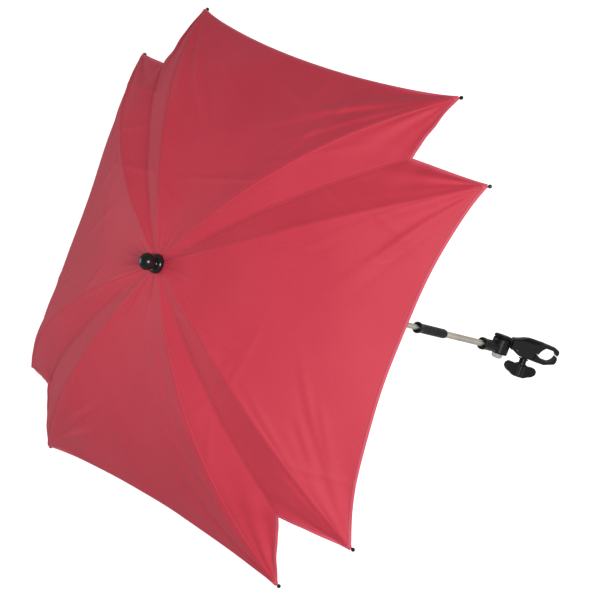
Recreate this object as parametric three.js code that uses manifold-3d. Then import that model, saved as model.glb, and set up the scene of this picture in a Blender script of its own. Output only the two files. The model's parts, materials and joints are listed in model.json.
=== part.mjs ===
// Clip-on square parasol: a canopy of eight ribs on a jointed steel shaft, with a swivelling
// clamp for a tube. Millimetres, +Z up along the shaft, canopy sides along X and Y.
// The origin is the centre of the clamp's closed mouth. The canopy stands open, the clamp is
// swivelled 45 degrees, and its jaws are closed.

import * as THREE from 'three';
import { mergeVertices } from 'three/addons/utils/BufferGeometryUtils.js';
import Module from 'manifold-3d';

const wasm = await Module();
wasm.setup();

// ---------------------------------------------------------------- driving dimensions

const CLEARANCE = 0.3; // gap that two touching pieces keep
const DEGREE = Math.PI / 180;

// Canopy
const TIP_RADIUS = 370; // shaft axis to a rib tip
const TIP_HEIGHT = 558; // swivel axis to the plane of the rib tips
const APEX_RISE = 144; // tip plane to the fabric's top
const TIP_HALF_ANGLE = 8.94 * DEGREE; // corner diagonal to a rib tip, seen from the axis
const CONE_SHARE = 0.12; // share of the rise that falls off as a straight cone
const PROFILE_POWER = 2.5; // the rest falls off with this power of the radius
const RIB_BOW = 8.5; // how far a rib bows sideways, into the wide gore
const FABRIC_THICKNESS = 0.8;
const HEM_CUT = 0.0755; // how far the wide hem is cut back at its middle, as a share of the rib
const HEM_POWER = 0.68;
const NOTCH_CUT = 0.159; // the same for the notch at a corner's seam
const NOTCH_POWER = 0.9;
const SEAM_DIP = 10; // how far the corner seam lies below the ribs
const GORE_DIP = 6; // how far the wide gore sags inward at its middle

// Ribs and stretchers
const RIB_WIDTH = 3.2;
const RIB_HEIGHT = 3;
const RIB_WALL = 0.6;
const TONGUE_WIDTH = 1.6;
const EYE_RADIUS = 1.9;
const EYE_BORE = 0.85;
const PIVOT_CIRCLE = 10; // shaft axis to a rib's or stretcher's pivot
const PIVOT_DEPTH = 6.5; // fabric top to the rib pivots
const CROWN_DEPTH = 2.1; // fabric top to the crown's flat top
const STRETCHER_SHARE = 0.52; // where the stretcher meets its rib, as a share of the radius
const STRETCHER_WIDTH = 2.4;
const STRETCHER_HEIGHT = 2.4;
const CHEEK_THICKNESS = 0.8;
const CHEEK_RADIUS = 1.6;
const FORK_LENGTH = 11;
const RIVET_RADIUS = 0.7;
const WIRE_RADIUS = 0.5;
const TIP_BALL_RADIUS = 2.5;
const TIP_PIN_RADIUS = 1;
const TIP_PIN_LENGTH = 4.2;

// Shaft
const UPPER_TUBE_RADIUS = 3.75;
const LOWER_TUBE_RADIUS = 4.5;
const TUBE_WALL = 0.7;
const HUB_RADIUS = 13; // crown and runner flanges
const HUB_SKIRT = 4; // pivots to a flange's lower face
const RUNNER_LENGTH = 42;
const RUNNER_BODY_RADIUS = 6.8;
const BALL_RADIUS = 8.8;
const BALL_CENTRE = 17; // fabric top to the ball's centre
const COLLAR_RADIUS = 11.4;
const COLLAR_HEIGHT = 7;
const PIN_HEIGHT = 142; // swivel axis to the knuckle pin
const KNUCKLE_PIN_RADIUS = 1.4;
const KNUCKLE_TONGUE = 3.4;
const SLEEVE_RADIUS = 6.5;
const SLEEVE_FLARE = 8;
const SLEEVE_LENGTH = 64;
const SLEEVE_COVER = 8; // how far the sleeve reaches below the knuckle pin
const SLEEVE_PLAY = 0.45; // radial gap round the knuckle, for the first degrees of tilt

// Swivel and socket
const BARREL_RADIUS = 13.3;
const BARREL_BOTTOM = -8.5;
const BARREL_TOP = 14;
const BARREL_ROOF = 5; // wall between the barrel's hollow and its top
const EAR_THICKNESS = 4.2;
const NECK_RADIUS = 8;
const MOUTH_RADIUS = 8.9;
const SOCKET_LENGTH = 45; // swivel axis to the socket's mouth
const SWIVEL_REST = 45 * DEGREE; // clamp turned away from the line of the shaft
const BUTTON_RADIUS = 7.9;
const BUTTON_REACH = 7; // how far the button stands out of the barrel
const BUTTON_FLANGE = 1.3;
const BUTTON_TRAVEL = 3;
const BOLT_RADIUS = 3;
const BOLT_HEAD = 5.5;

// Clamp, in its own frame: u from the swivel axis to the jaw tips, v across, w along the screw
const CLAMP_WIDTH = 26;
const JAW_TONGUE_WIDTH = 16;
const JAW_PIN_U = 23.5;
const JAW_PIN_W = 6;
const JAW_KNUCKLE_RADIUS = 4.5;
const JAW_PIN_RADIUS = 1.5;
const SCREW_U = 38;
const SCREW_RADIUS = 3;
const BOSS_RADIUS = 9; // round seat under the jaw that the thrust washer rolls on
const WASHER_RADIUS = 7;
const WASHER_THICKNESS = 1.2;
const NUT_FLAT = 5; // half of the nut's size across flats
const NUT_THICKNESS = 5;
const NUT_SEAT_W = 14.5;
const STEM_RADIUS = 5.3;
const KNOB_TOP_W = -10.8;
const KNOB_HEIGHT = 19.2; // at the hub
const KNOB_LENGTH = 49;
const KNOB_TURN = 20 * DEGREE;
const WING_END = 4.7; // radius of a wing's round end
const WING_DROP = 7.7; // knob's top to the middle of a wing's end
const WING_THICKNESS = 8;
const MOUTH_U = 66; // swivel axis to the middle of the mouth
const MOUTH_W = 13.2;
const MOUTH_HEIGHT = 17.5; // between the two seat faces
const SEAT_LENGTH = 9;

// ---------------------------------------------------------------- derived places

const PIVOT_SKEW = Math.PI / 8 - TIP_HALF_ANGLE; // slots are evenly spaced, rib tips are not
const PIVOT_X = PIVOT_CIRCLE * Math.cos(PIVOT_SKEW);
const PIVOT_Y = PIVOT_CIRCLE * Math.sin(PIVOT_SKEW);
const PIVOT_Z = APEX_RISE - PIVOT_DEPTH;
const RIB_DEPTH = FABRIC_THICKNESS + 1.5 * CLEARANCE; // fabric top to the rib's back
const RIB_MIDDLE = RIB_DEPTH + RIB_HEIGHT / 2;
const FABRIC_STEPS = 14; // facets along the fabric over a rib
const RIB_STEPS = 9;
const CHANNEL_START = PIVOT_X + 8.5;
const CHANNEL_END = TIP_RADIUS - 1.5;
const FABRIC_BORE = UPPER_TUBE_RADIUS + 1;
const TUBE_FIT = UPPER_TUBE_RADIUS + CLEARANCE;
const SLEEVE_BOTTOM = PIN_HEIGHT - SLEEVE_COVER;
const LOWER_TUBE_TOP = PIN_HEIGHT - 6;
const UPPER_TUBE_BOTTOM = PIN_HEIGHT + 18;
const BARREL_HOLLOW = BUTTON_RADIUS + 2 * CLEARANCE + BUTTON_FLANGE;
const HOLLOW_TOP = BARREL_TOP - BARREL_ROOF;
const EAR_BOTTOM = BARREL_TOP + CLEARANCE;
const EAR_TOP = EAR_BOTTOM + EAR_THICKNESS;
const SLOT_WIDTH = TONGUE_WIDTH + 2 * CLEARANCE;
const SLOT_START = PIVOT_X - EYE_RADIUS - 2 * CLEARANCE;
const FORK_INNER = RIB_WIDTH / 2 + CLEARANCE;
const FORK_OUTER = FORK_INNER + CHEEK_THICKNESS;

// ---------------------------------------------------------------- materials

function finish(color, roughness, metalness) {
  return new THREE.MeshStandardMaterial({ color, roughness, metalness });
}

const MATERIALS = {
  fabric: finish(0xb63a4f, 0.85, 0),
  blackPlastic: finish(0x1b1b1d, 0.45, 0),
  glossBlack: finish(0x121214, 0.2, 0),
  steel: finish(0xc9c7c0, 0.3, 1),
  darkSteel: finish(0x6d6d70, 0.4, 1),
  clearWhite: finish(0xd9d9dc, 0.35, 0),
};

// ---------------------------------------------------------------- solid helpers

function signedVolume(geometry) {
  const point = geometry.attributes.position;
  const index = geometry.index.array;
  const corners = [new THREE.Vector3(), new THREE.Vector3(), new THREE.Vector3()];
  let volume = 0;
  for (let i = 0; i < index.length; i += 3) {
    corners.forEach((corner, k) => corner.fromBufferAttribute(point, index[i + k]));
    volume += corners[0].dot(corners[1].cross(corners[2])) / 6;
  }
  return volume;
}

// Closes a geometry's seams, drops triangles without area and turns its faces outward.
function weld(source) {
  const bare = source.clone();
  bare.deleteAttribute('normal');
  bare.deleteAttribute('uv');
  const merged = mergeVertices(bare);
  const index = merged.index.array;
  const kept = [];
  for (let i = 0; i < index.length; i += 3) {
    const [a, b, c] = [index[i], index[i + 1], index[i + 2]];
    if (a !== b && b !== c && c !== a) kept.push(a, b, c);
  }
  merged.setIndex(kept);
  if (signedVolume(merged) < 0) merged.setIndex(kept.reverse());
  return merged;
}

function toSolid(geometry) {
  const closed = weld(geometry);
  const vertProperties = new Float32Array(closed.attributes.position.array);
  const triVerts = new Uint32Array(closed.index.array);
  return new wasm.Manifold(new wasm.Mesh({ numProp: 3, vertProperties, triVerts }));
}

function toGeometry(solid) {
  const mesh = solid.getMesh();
  const geometry = new THREE.BufferGeometry();
  geometry.setAttribute('position', new THREE.BufferAttribute(mesh.vertProperties, 3));
  geometry.setIndex(new THREE.BufferAttribute(mesh.triVerts, 1));
  geometry.computeVertexNormals();
  return geometry;
}

function combine(base, added, removed) {
  let solid = toSolid(base);
  for (const geometry of added) solid = solid.add(toSolid(geometry));
  for (const geometry of removed) solid = solid.subtract(toSolid(geometry));
  return toGeometry(solid);
}

// A profile of [radius, height] corners, turned about Z.
function revolve(profile, segments = 24) {
  const points = profile.map(([radius, height]) => new THREE.Vector2(radius, height));
  return new THREE.LatheGeometry(points, segments).rotateX(Math.PI / 2);
}

// A wall between two radii, turned about Z.
function ring(inner, outer, bottom, top, segments = 24) {
  const profile = [[inner, bottom], [outer, bottom], [outer, top], [inner, top], [inner, bottom]];
  return revolve(profile, segments);
}

function rod(radius, bottom, top, segments = 20) {
  return revolve([[0, bottom], [radius, bottom], [radius, top], [0, top]], segments);
}

// A rod along Y, as pins and bores of the ribs, knuckle and jaw are.
function crossRod(radius, length, x, z, segments = 12) {
  return rod(radius, -length / 2, length / 2, segments).rotateX(Math.PI / 2).translate(x, 0, z);
}

function box(from, to) {
  const size = to.map((value, i) => value - from[i]);
  const centre = to.map((value, i) => (value + from[i]) / 2);
  return new THREE.BoxGeometry(...size).translate(...centre);
}

function outline(corners) {
  return new THREE.Shape(corners.map(([x, y]) => new THREE.Vector2(x, y)));
}

// A flat outline in X and Z, made into a plate of the given width across Y.
function sidePlate(shape, width, curveSegments = 8, bevel = 0) {
  const settings = {
    depth: width - 2 * bevel,
    curveSegments,
    bevelEnabled: bevel > 0,
    bevelThickness: bevel,
    bevelSize: bevel,
    bevelOffset: -bevel,
    bevelSegments: 2,
  };
  const plate = new THREE.ExtrudeGeometry(shape, settings);
  return plate.rotateX(Math.PI / 2).translate(0, width / 2 - bevel, 0);
}

// Moves every point of a geometry by a function of its place.
function reshape(geometry, move) {
  const point = geometry.attributes.position;
  const place = new THREE.Vector3();
  for (let i = 0; i < point.count; i += 1) {
    move(place.fromBufferAttribute(point, i));
    point.setXYZ(i, place.x, place.y, place.z);
  }
  geometry.computeVertexNormals();
  return geometry;
}

function piece(name, geometry, material) {
  const mesh = new THREE.Mesh(weld(geometry), material);
  mesh.geometry.computeVertexNormals();
  mesh.name = name;
  return mesh;
}

// ---------------------------------------------------------------- canopy shape

// Height of the fabric over the tip plane, above a rib.
function ribRise(radius) {
  const share = radius / TIP_RADIUS;
  return APEX_RISE * (1 - CONE_SHARE * share - (1 - CONE_SHARE) * share ** PROFILE_POWER);
}

function ribSlope(radius) {
  const share = radius / TIP_RADIUS;
  const fall = CONE_SHARE + (1 - CONE_SHARE) * PROFILE_POWER * share ** (PROFILE_POWER - 1);
  return Math.atan((fall * APEX_RISE) / TIP_RADIUS);
}

// A point below the fabric's top, in the plane of a rib: [radius, height].
function underFabric(radius, depth) {
  const slope = ribSlope(radius);
  return [radius - depth * Math.sin(slope), ribRise(radius) - depth * Math.cos(slope)];
}

// How far a rib lies off the plane of its tip: from its slot, out into the wide gore, and back.
function sideways(radius) {
  const start = HUB_RADIUS + 2;
  const share = Math.min(1, Math.max(0, (radius - start) / (TIP_RADIUS - start)));
  return PIVOT_Y * (1 - share) + 4 * RIB_BOW * share * (1 - share);
}

// The fabric beside one rib, in the rib's frame. along runs from the apex to the hem. width runs
// from the rib's edge at 0 to the middle of the wide gore, or to the corner seam, at 1.
function fabricPoint(along, width, wide) {
  const fold = wide ? width * (2 - width) : width;
  const cut = wide ? HEM_CUT * fold ** HEM_POWER : NOTCH_CUT * fold ** NOTCH_POWER;
  const radius = FABRIC_BORE + along * (TIP_RADIUS * (1 - cut) - FABRIC_BORE);
  const seat = Math.min(RIB_WIDTH / 2 + CLEARANCE, radius / 10);
  const rib = new THREE.Vector2(radius, sideways(radius) + (wide ? seat : -seat));
  const halfAngle = wide ? Math.PI / 4 - TIP_HALF_ANGLE : -TIP_HALF_ANGLE;
  const middle = new THREE.Vector2(Math.cos(halfAngle), Math.sin(halfAngle));
  const edge = middle.clone().multiplyScalar(rib.dot(middle));
  const flat = rib.lerp(edge, width);
  const dip = wide
    ? GORE_DIP * Math.sin(Math.PI * along) * fold
    : SEAM_DIP * Math.sin(Math.min(1, 1.4 * along) * Math.PI / 2) * fold;
  return { flat, height: ribRise(radius) - dip, slope: ribSlope(radius) };
}

function makeCanopyPanel(side) {
  const trim = 0.2; // keeps neighbouring panels apart at the seam and the gore's middle
  const rows = 3; // on each side of the rib
  const sheet = new THREE.BoxGeometry(1, 2 * rows + 1, 1, FABRIC_STEPS, 2 * rows + 1, 1);
  return reshape(sheet, (place) => {
    const width = (Math.abs(place.y) - 0.5) / rows;
    const { flat, height, slope } = fabricPoint(place.x + 0.5, width, place.y > 0);
    const edge = width > 0.99 ? trim * Math.sign(place.y) : 0;
    const depth = place.z < 0 ? FABRIC_THICKNESS : 0;
    const reach = flat.length();
    const shrink = (reach - depth * Math.sin(slope)) / reach;
    const drop = depth * Math.cos(slope);
    place.set(flat.x * shrink, side * (flat.y * shrink - edge), height - drop);
  });
}

// ---------------------------------------------------------------- ribs

// A strip that follows the rib's profile between two depths under the fabric.
function ribStrip(start, end, top, bottom, steps) {
  const upper = [];
  const lower = [];
  for (let i = 0; i <= steps; i += 1) {
    const radius = start + ((end - start) * i) / steps;
    upper.push(underFabric(radius, top));
    lower.unshift(underFabric(radius, bottom));
  }
  return outline([...upper, ...lower]);
}

const RIVET_DEPTH = RIB_DEPTH + CHEEK_RADIUS + 0.05;
const [RIVET_X, RIVET_Z] = underFabric(STRETCHER_SHARE * TIP_RADIUS, RIVET_DEPTH);

function makeRib(side) {
  const back = ribStrip(CHANNEL_START, CHANNEL_END, RIB_DEPTH, RIB_DEPTH + RIB_HEIGHT, RIB_STEPS);
  const channel = sidePlate(back, RIB_WIDTH);
  const hollow = ribStrip(
    CHANNEL_START + 12, CHANNEL_END - 12, RIB_DEPTH + RIB_WALL, RIB_DEPTH + RIB_HEIGHT + 1,
    RIB_STEPS);
  const groove = sidePlate(hollow, RIB_WIDTH - 2 * RIB_WALL);
  const [rootX, rootZ] = underFabric(CHANNEL_START + 4, RIB_MIDDLE);
  const tongue = sidePlate(outline([
    [PIVOT_X, PIVOT_Z - 1.1], [rootX, rootZ - 1.1], [rootX, rootZ + 1.1], [PIVOT_X, PIVOT_Z + 1.1],
  ]), TONGUE_WIDTH);
  const eye = crossRod(EYE_RADIUS, TONGUE_WIDTH, PIVOT_X, PIVOT_Z, 8);
  const eyeBore = crossRod(EYE_BORE, 4, PIVOT_X, PIVOT_Z, 8);
  const rivetBore = crossRod(RIVET_RADIUS + CLEARANCE, 8, RIVET_X, RIVET_Z, 8);
  const [pinX, pinZ] = underFabric(CHANNEL_END, RIB_MIDDLE);
  const pin = rod(TIP_PIN_RADIUS, -3, TIP_PIN_LENGTH, 8)
    .rotateY(Math.PI / 2 + ribSlope(TIP_RADIUS))
    .translate(pinX, 0, pinZ);
  const straight = combine(channel, [tongue, eye, pin], [groove, eyeBore, rivetBore]);
  return reshape(straight, (place) => {
    place.y = side * (place.y + sideways(place.x));
  });
}

function makeTipCap() {
  const bore = TIP_PIN_RADIUS + CLEARANCE;
  const centre = TIP_PIN_LENGTH + 0.4;
  const ball = [0.2, 0.4, 0.6, 0.8, 1].map((share) => {
    const angle = share * Math.PI;
    return [TIP_BALL_RADIUS * Math.sin(angle), centre - TIP_BALL_RADIUS * Math.cos(angle)];
  });
  const hollow = TIP_PIN_LENGTH + CLEARANCE;
  const start = ball[0][1];
  return revolve([[bore, start], ...ball, [0, hollow], [bore, hollow], [bore, start]], 8);
}

// ---------------------------------------------------------------- stretchers and hubs

// The stretcher is as long as the rib from its pivot to the rivet, so the two fold as a pair of
// equal arms and the runner stays on the shaft.
const ARM_X = RIVET_X - PIVOT_X;
const ARM_DROP = PIVOT_Z - RIVET_Z;
const ARM_LENGTH = Math.hypot(ARM_X, ARM_DROP);
const ARM_ANGLE = Math.atan2(ARM_DROP, ARM_X);
const RUNNER_PIVOT_Z = PIVOT_Z - 2 * ARM_DROP;

// In its own frame: the rivet at the origin, the runner's end at +X.
function makeStretcher(side) {
  const end = side * (PIVOT_Y - sideways(RIVET_X));
  const bar = STRETCHER_WIDTH / 2;
  const tongue = TONGUE_WIDTH / 2;
  const neck = ARM_LENGTH - 14;
  const plan = outline([
    [0, -FORK_OUTER], [FORK_LENGTH, -FORK_OUTER], [FORK_LENGTH + 3, -bar],
    [neck, end - bar], [neck + 2, end - tongue], [ARM_LENGTH, end - tongue],
    [ARM_LENGTH, end + tongue], [neck + 2, end + tongue], [neck, end + bar],
    [FORK_LENGTH + 3, bar], [FORK_LENGTH, FORK_OUTER], [0, FORK_OUTER],
    [0, FORK_INNER], [FORK_LENGTH - 1, FORK_INNER],
    [FORK_LENGTH - 1, -FORK_INNER], [0, -FORK_INNER],
  ]);
  const body = new THREE.ExtrudeGeometry(plan, { depth: STRETCHER_HEIGHT, bevelEnabled: false });
  body.translate(0, 0, -STRETCHER_HEIGHT / 2);
  const cheekMiddle = (FORK_INNER + FORK_OUTER) / 2;
  const cheeks = [-cheekMiddle, cheekMiddle].map((y) => (
    crossRod(CHEEK_RADIUS, CHEEK_THICKNESS, 0, 0, 8).translate(0, y, 0)));
  const rivet = crossRod(RIVET_RADIUS, 2 * FORK_OUTER, 0, 0, 8);
  const eye = crossRod(EYE_RADIUS, TONGUE_WIDTH, ARM_LENGTH, 0, 8).translate(0, end, 0);
  const eyeBore = crossRod(EYE_BORE, 4, ARM_LENGTH, 0, 8).translate(0, end, 0);
  return combine(body, [...cheeks, rivet, eye], [eyeBore]);
}

const RIB_STATIONS = [45, 135, 225, 315].flatMap((corner) => [
  { angle: corner * DEGREE - TIP_HALF_ANGLE, side: -1 },
  { angle: corner * DEGREE + TIP_HALF_ANGLE, side: 1 },
]);

// One slot for each rib, parallel to the plane that the rib swings in.
function hubSlots(bottom, top) {
  return RIB_STATIONS.map(({ angle, side }) => {
    const y = side * PIVOT_Y;
    const from = [SLOT_START, y - SLOT_WIDTH / 2, bottom];
    return box(from, [HUB_RADIUS + 2, y + SLOT_WIDTH / 2, top]).rotateZ(angle);
  });
}

// The groove that the pivot wire of a hub lies in, open to the outside.
function wireGroove(height) {
  const play = WIRE_RADIUS + CLEARANCE;
  return ring(PIVOT_CIRCLE - play, HUB_RADIUS + 1, height - play, height + play);
}

// The wire that a hub's eight arms are threaded on.
function makePivotWire(height) {
  const section = [];
  for (let i = 0; i <= 6; i += 1) {
    const angle = (i % 6) * (Math.PI / 3);
    const radius = PIVOT_CIRCLE + WIRE_RADIUS * Math.cos(angle);
    section.push([radius, height + WIRE_RADIUS * Math.sin(angle)]);
  }
  return revolve(section, 24);
}

function makeCrown() {
  const top = APEX_RISE - CROWN_DEPTH;
  const bottom = PIVOT_Z - HUB_SKIRT;
  const body = revolve([
    [TUBE_FIT, bottom - 4], [RUNNER_BODY_RADIUS, bottom - 4], [RUNNER_BODY_RADIUS, bottom],
    [HUB_RADIUS - 1, bottom], [HUB_RADIUS, bottom + 1], [HUB_RADIUS, top - 1],
    [HUB_RADIUS - 1, top], [TUBE_FIT, top], [TUBE_FIT, bottom - 4],
  ]);
  const slots = hubSlots(bottom - 5, PIVOT_Z + EYE_RADIUS + 2 * CLEARANCE);
  return combine(body, [], [wireGroove(PIVOT_Z), ...slots]);
}

function makeRunner() {
  const top = RUNNER_PIVOT_Z + HUB_SKIRT;
  const bottom = RUNNER_PIVOT_Z - HUB_SKIRT;
  const foot = RUNNER_PIVOT_Z - RUNNER_LENGTH;
  const thumbRing = RUNNER_BODY_RADIUS + 0.7; // inside the circle that the eyes pass on
  const body = revolve([
    [TUBE_FIT, foot], [thumbRing - 1, foot], [thumbRing, foot + 1.5], [thumbRing, foot + 3.5],
    [RUNNER_BODY_RADIUS - 0.6, foot + 7], [RUNNER_BODY_RADIUS - 0.6, bottom - 6],
    [RUNNER_BODY_RADIUS, bottom - 2], [HUB_RADIUS - 1, bottom], [HUB_RADIUS, bottom + 1],
    [HUB_RADIUS, top - 1], [HUB_RADIUS - 1, top], [TUBE_FIT, top], [TUBE_FIT, foot],
  ]);
  return combine(body, [], [wireGroove(RUNNER_PIVOT_Z), ...hubSlots(bottom - 1, top + 1)]);
}

// ---------------------------------------------------------------- shaft

const UPPER_TUBE_TOP = TIP_HEIGHT + APEX_RISE + COLLAR_HEIGHT;
const CATCH_TOP = TIP_HEIGHT + RUNNER_PIVOT_Z - RUNNER_LENGTH - CLEARANCE;
const CATCH_LENGTH = 30;
const CATCH_WIDTH = 1.4;
const CATCH_REACH = 2.4; // how far the tooth stands out of the tube

function makeUpperTube() {
  const inner = UPPER_TUBE_RADIUS - TUBE_WALL;
  const tube = ring(inner, UPPER_TUBE_RADIUS, UPPER_TUBE_BOTTOM, UPPER_TUBE_TOP);
  const half = CATCH_WIDTH / 2 + CLEARANCE;
  const low = CATCH_TOP - 0.6 * CATCH_LENGTH;
  const slot = box([0, -half, low], [2 * UPPER_TUBE_RADIUS, half, CATCH_TOP + CLEARANCE]);
  return combine(tube, [], [slot]);
}

// A leaf that stands in the tube and pushes its tooth out through the slot, under the runner.
function makeCatchSpring() {
  const back = -0.5;
  const front = 0.4;
  const reach = UPPER_TUBE_RADIUS + CATCH_REACH;
  const foot = CATCH_TOP - CATCH_LENGTH;
  const leaf = outline([
    [back, foot], [front, foot], [front, CATCH_TOP - 16], [reach, CATCH_TOP - 2.5],
    [reach, CATCH_TOP], [front + 0.8, CATCH_TOP], [front + 0.8, CATCH_TOP - 0.9],
    [reach - 1.2, CATCH_TOP - 0.9], [reach - 1.4, CATCH_TOP - 2.6], [back, CATCH_TOP - 15],
  ]);
  return sidePlate(leaf, CATCH_WIDTH);
}

function makeTopCap() {
  const base = CLEARANCE;
  const bore = TUBE_FIT;
  const neck = BALL_RADIUS * 0.62;
  const ball = [];
  const start = Math.asin(neck / BALL_RADIUS);
  for (let i = 0; i <= 8; i += 1) {
    const angle = Math.PI - start - ((Math.PI - start) * i) / 8;
    ball.push([BALL_RADIUS * Math.sin(angle), BALL_CENTRE + BALL_RADIUS * Math.cos(angle)]);
  }
  const cap = [
    [bore, base], [COLLAR_RADIUS - 0.6, base], [COLLAR_RADIUS, base + 1],
    [COLLAR_RADIUS - 0.5, base + 3], [COLLAR_RADIUS - 2.6, COLLAR_HEIGHT - 1.2],
    [neck + 1.4, COLLAR_HEIGHT], ...ball,
    [0, COLLAR_HEIGHT + 1], [bore, COLLAR_HEIGHT + 1], [bore, base],
  ];
  return revolve(cap, 20);
}

// A round bar along the shaft, flattened to a tongue or cut to a fork at the pin.
function knuckleEnd() {
  const round = crossRod(LOWER_TUBE_RADIUS - 0.3, 20, 0, PIN_HEIGHT, 16);
  return toSolid(round);
}

function makeUpperKnuckle() {
  const plugRadius = UPPER_TUBE_RADIUS - TUBE_WALL - CLEARANCE;
  const shoulder = PIN_HEIGHT + LOWER_TUBE_RADIUS + 1;
  const plug = rod(plugRadius, UPPER_TUBE_BOTTOM - 1, UPPER_TUBE_BOTTOM + 14);
  const body = rod(LOWER_TUBE_RADIUS, shoulder, UPPER_TUBE_BOTTOM - CLEARANCE);
  const half = KNUCKLE_TONGUE / 2;
  const width = LOWER_TUBE_RADIUS - 0.3;
  const tongue = box([-width, -half, PIN_HEIGHT], [width, half, shoulder + 1]);
  const tip = crossRod(width, KNUCKLE_TONGUE, 0, PIN_HEIGHT, 16);
  const bore = crossRod(KNUCKLE_PIN_RADIUS + CLEARANCE, 12, 0, PIN_HEIGHT);
  const whole = toSolid(combine(body, [plug, tongue, tip], [bore]));
  const limit = toSolid(rod(LOWER_TUBE_RADIUS, PIN_HEIGHT - 8, UPPER_TUBE_BOTTOM + 20, 24));
  return toGeometry(whole.intersect(limit));
}

function makeLowerKnuckle() {
  const plugRadius = LOWER_TUBE_RADIUS - TUBE_WALL - CLEARANCE;
  const seat = LOWER_TUBE_TOP + CLEARANCE;
  const plug = toSolid(rod(plugRadius, LOWER_TUBE_TOP - 18, seat + 0.5));
  const bar = toSolid(rod(LOWER_TUBE_RADIUS, seat, PIN_HEIGHT + LOWER_TUBE_RADIUS));
  const below = toSolid(box([-8, -8, seat - 1], [8, 8, PIN_HEIGHT]));
  const half = KNUCKLE_TONGUE / 2 + CLEARANCE;
  const slotFloor = PIN_HEIGHT - LOWER_TUBE_RADIUS;
  const slot = toSolid(box([-8, -half, slotFloor], [8, half, PIN_HEIGHT + 8]));
  const bore = toSolid(crossRod(KNUCKLE_PIN_RADIUS + CLEARANCE, 12, 0, PIN_HEIGHT));
  const fork = bar.intersect(knuckleEnd().add(below)).subtract(slot).subtract(bore);
  return toGeometry(fork.add(plug));
}

function makeSleeve() {
  const bottom = SLEEVE_BOTTOM;
  const top = SLEEVE_BOTTOM + SLEEVE_LENGTH;
  const wideBore = LOWER_TUBE_RADIUS + SLEEVE_PLAY;
  const guide = UPPER_TUBE_BOTTOM + 4;
  const profile = [
    [wideBore, bottom], [SLEEVE_RADIUS - 0.9, bottom], [SLEEVE_RADIUS - 0.3, bottom + 1.5],
    [SLEEVE_RADIUS, bottom + 4], [SLEEVE_RADIUS, top - 7], [SLEEVE_FLARE - 0.4, top - 4.5],
    [SLEEVE_FLARE, top - 1], [SLEEVE_FLARE - 0.7, top], [SLEEVE_FLARE - 1.8, top],
    [TUBE_FIT + 0.5, top - 5], [TUBE_FIT, top - 6], [TUBE_FIT, guide], [wideBore, guide],
    [wideBore, bottom],
  ];
  return revolve(profile, 20);
}

// ---------------------------------------------------------------- swivel, in the barrel's frame
// Here Z runs along the swivel axis and the shaft leaves along -X.

function makeSocket() {
  const barrel = revolve([
    [0, BARREL_BOTTOM], [BARREL_RADIUS - 1.2, BARREL_BOTTOM],
    [BARREL_RADIUS, BARREL_BOTTOM + 1.2], [BARREL_RADIUS, BARREL_TOP - 1.6],
    [BARREL_RADIUS - 1.6, BARREL_TOP], [0, BARREL_TOP],
  ], 28);
  const neck = revolve([
    [0, 9], [NECK_RADIUS, 9], [NECK_RADIUS, SOCKET_LENGTH - 9],
    [MOUTH_RADIUS, SOCKET_LENGTH - 4], [MOUTH_RADIUS, SOCKET_LENGTH - 0.8],
    [MOUTH_RADIUS - 0.8, SOCKET_LENGTH], [0, SOCKET_LENGTH],
  ]).rotateY(-Math.PI / 2);
  const tubeFit = LOWER_TUBE_RADIUS + CLEARANCE;
  const tubeSeat = BARREL_HOLLOW + 2;
  const tubeBore = rod(tubeFit, tubeSeat, SOCKET_LENGTH + 1, 24).rotateY(-Math.PI / 2);
  const recess = rod(MOUTH_RADIUS - 2, SOCKET_LENGTH - 4, SOCKET_LENGTH + 1, 24)
    .rotateY(-Math.PI / 2);
  const lip = BARREL_BOTTOM + 2;
  const buttonBore = rod(BUTTON_RADIUS + CLEARANCE, BARREL_BOTTOM - 1, lip + 1, 24);
  const hollow = rod(BARREL_HOLLOW, lip, HOLLOW_TOP, 24);
  const boltBore = rod(BOLT_RADIUS + CLEARANCE, HOLLOW_TOP - 1, BARREL_TOP + 1);
  return combine(barrel, [neck], [tubeBore, recess, buttonBore, hollow, boltBore]);
}

const BUTTON_SHOULDER = BARREL_BOTTOM + 2 + CLEARANCE;
const SPRING_SEAT = BUTTON_SHOULDER + BUTTON_FLANGE;

function makePushButton() {
  const face = BARREL_BOTTOM - BUTTON_REACH;
  const flange = BUTTON_RADIUS + BUTTON_FLANGE;
  return revolve([
    [0, face], [BUTTON_RADIUS - 3, face + 0.2], [BUTTON_RADIUS - 1, face + 1.2],
    [BUTTON_RADIUS, face + 3], [BUTTON_RADIUS, BUTTON_SHOULDER], [flange, BUTTON_SHOULDER],
    [flange, SPRING_SEAT], [BOLT_RADIUS, SPRING_SEAT], [BOLT_RADIUS, SPRING_SEAT + 2],
    [0, SPRING_SEAT + 2],
  ], 24);
}

class Helix extends THREE.Curve {
  constructor(radius, bottom, rise, turns) {
    super();
    Object.assign(this, { radius, bottom, rise, turns });
  }

  getPoint(t, target = new THREE.Vector3()) {
    const angle = t * this.turns * 2 * Math.PI;
    const { radius, bottom, rise } = this;
    return target.set(radius * Math.cos(angle), radius * Math.sin(angle), bottom + rise * t);
  }
}

const SPRING_WIRE = 0.5;
const SPRING_RADIUS = 4.8;
const NUT_HEIGHT = 4;

function makeButtonSpring() {
  const bottom = SPRING_SEAT + CLEARANCE + SPRING_WIRE;
  const top = HOLLOW_TOP - CLEARANCE - NUT_HEIGHT - BUTTON_TRAVEL - CLEARANCE - SPRING_WIRE;
  const section = new THREE.Shape();
  section.absarc(0, 0, SPRING_WIRE, 0, 2 * Math.PI);
  const path = new Helix(SPRING_RADIUS, bottom, top - bottom, 3);
  const settings = { steps: 36, curveSegments: 3, bevelEnabled: false, extrudePath: path };
  return new THREE.ExtrudeGeometry(section, settings);
}

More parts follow.
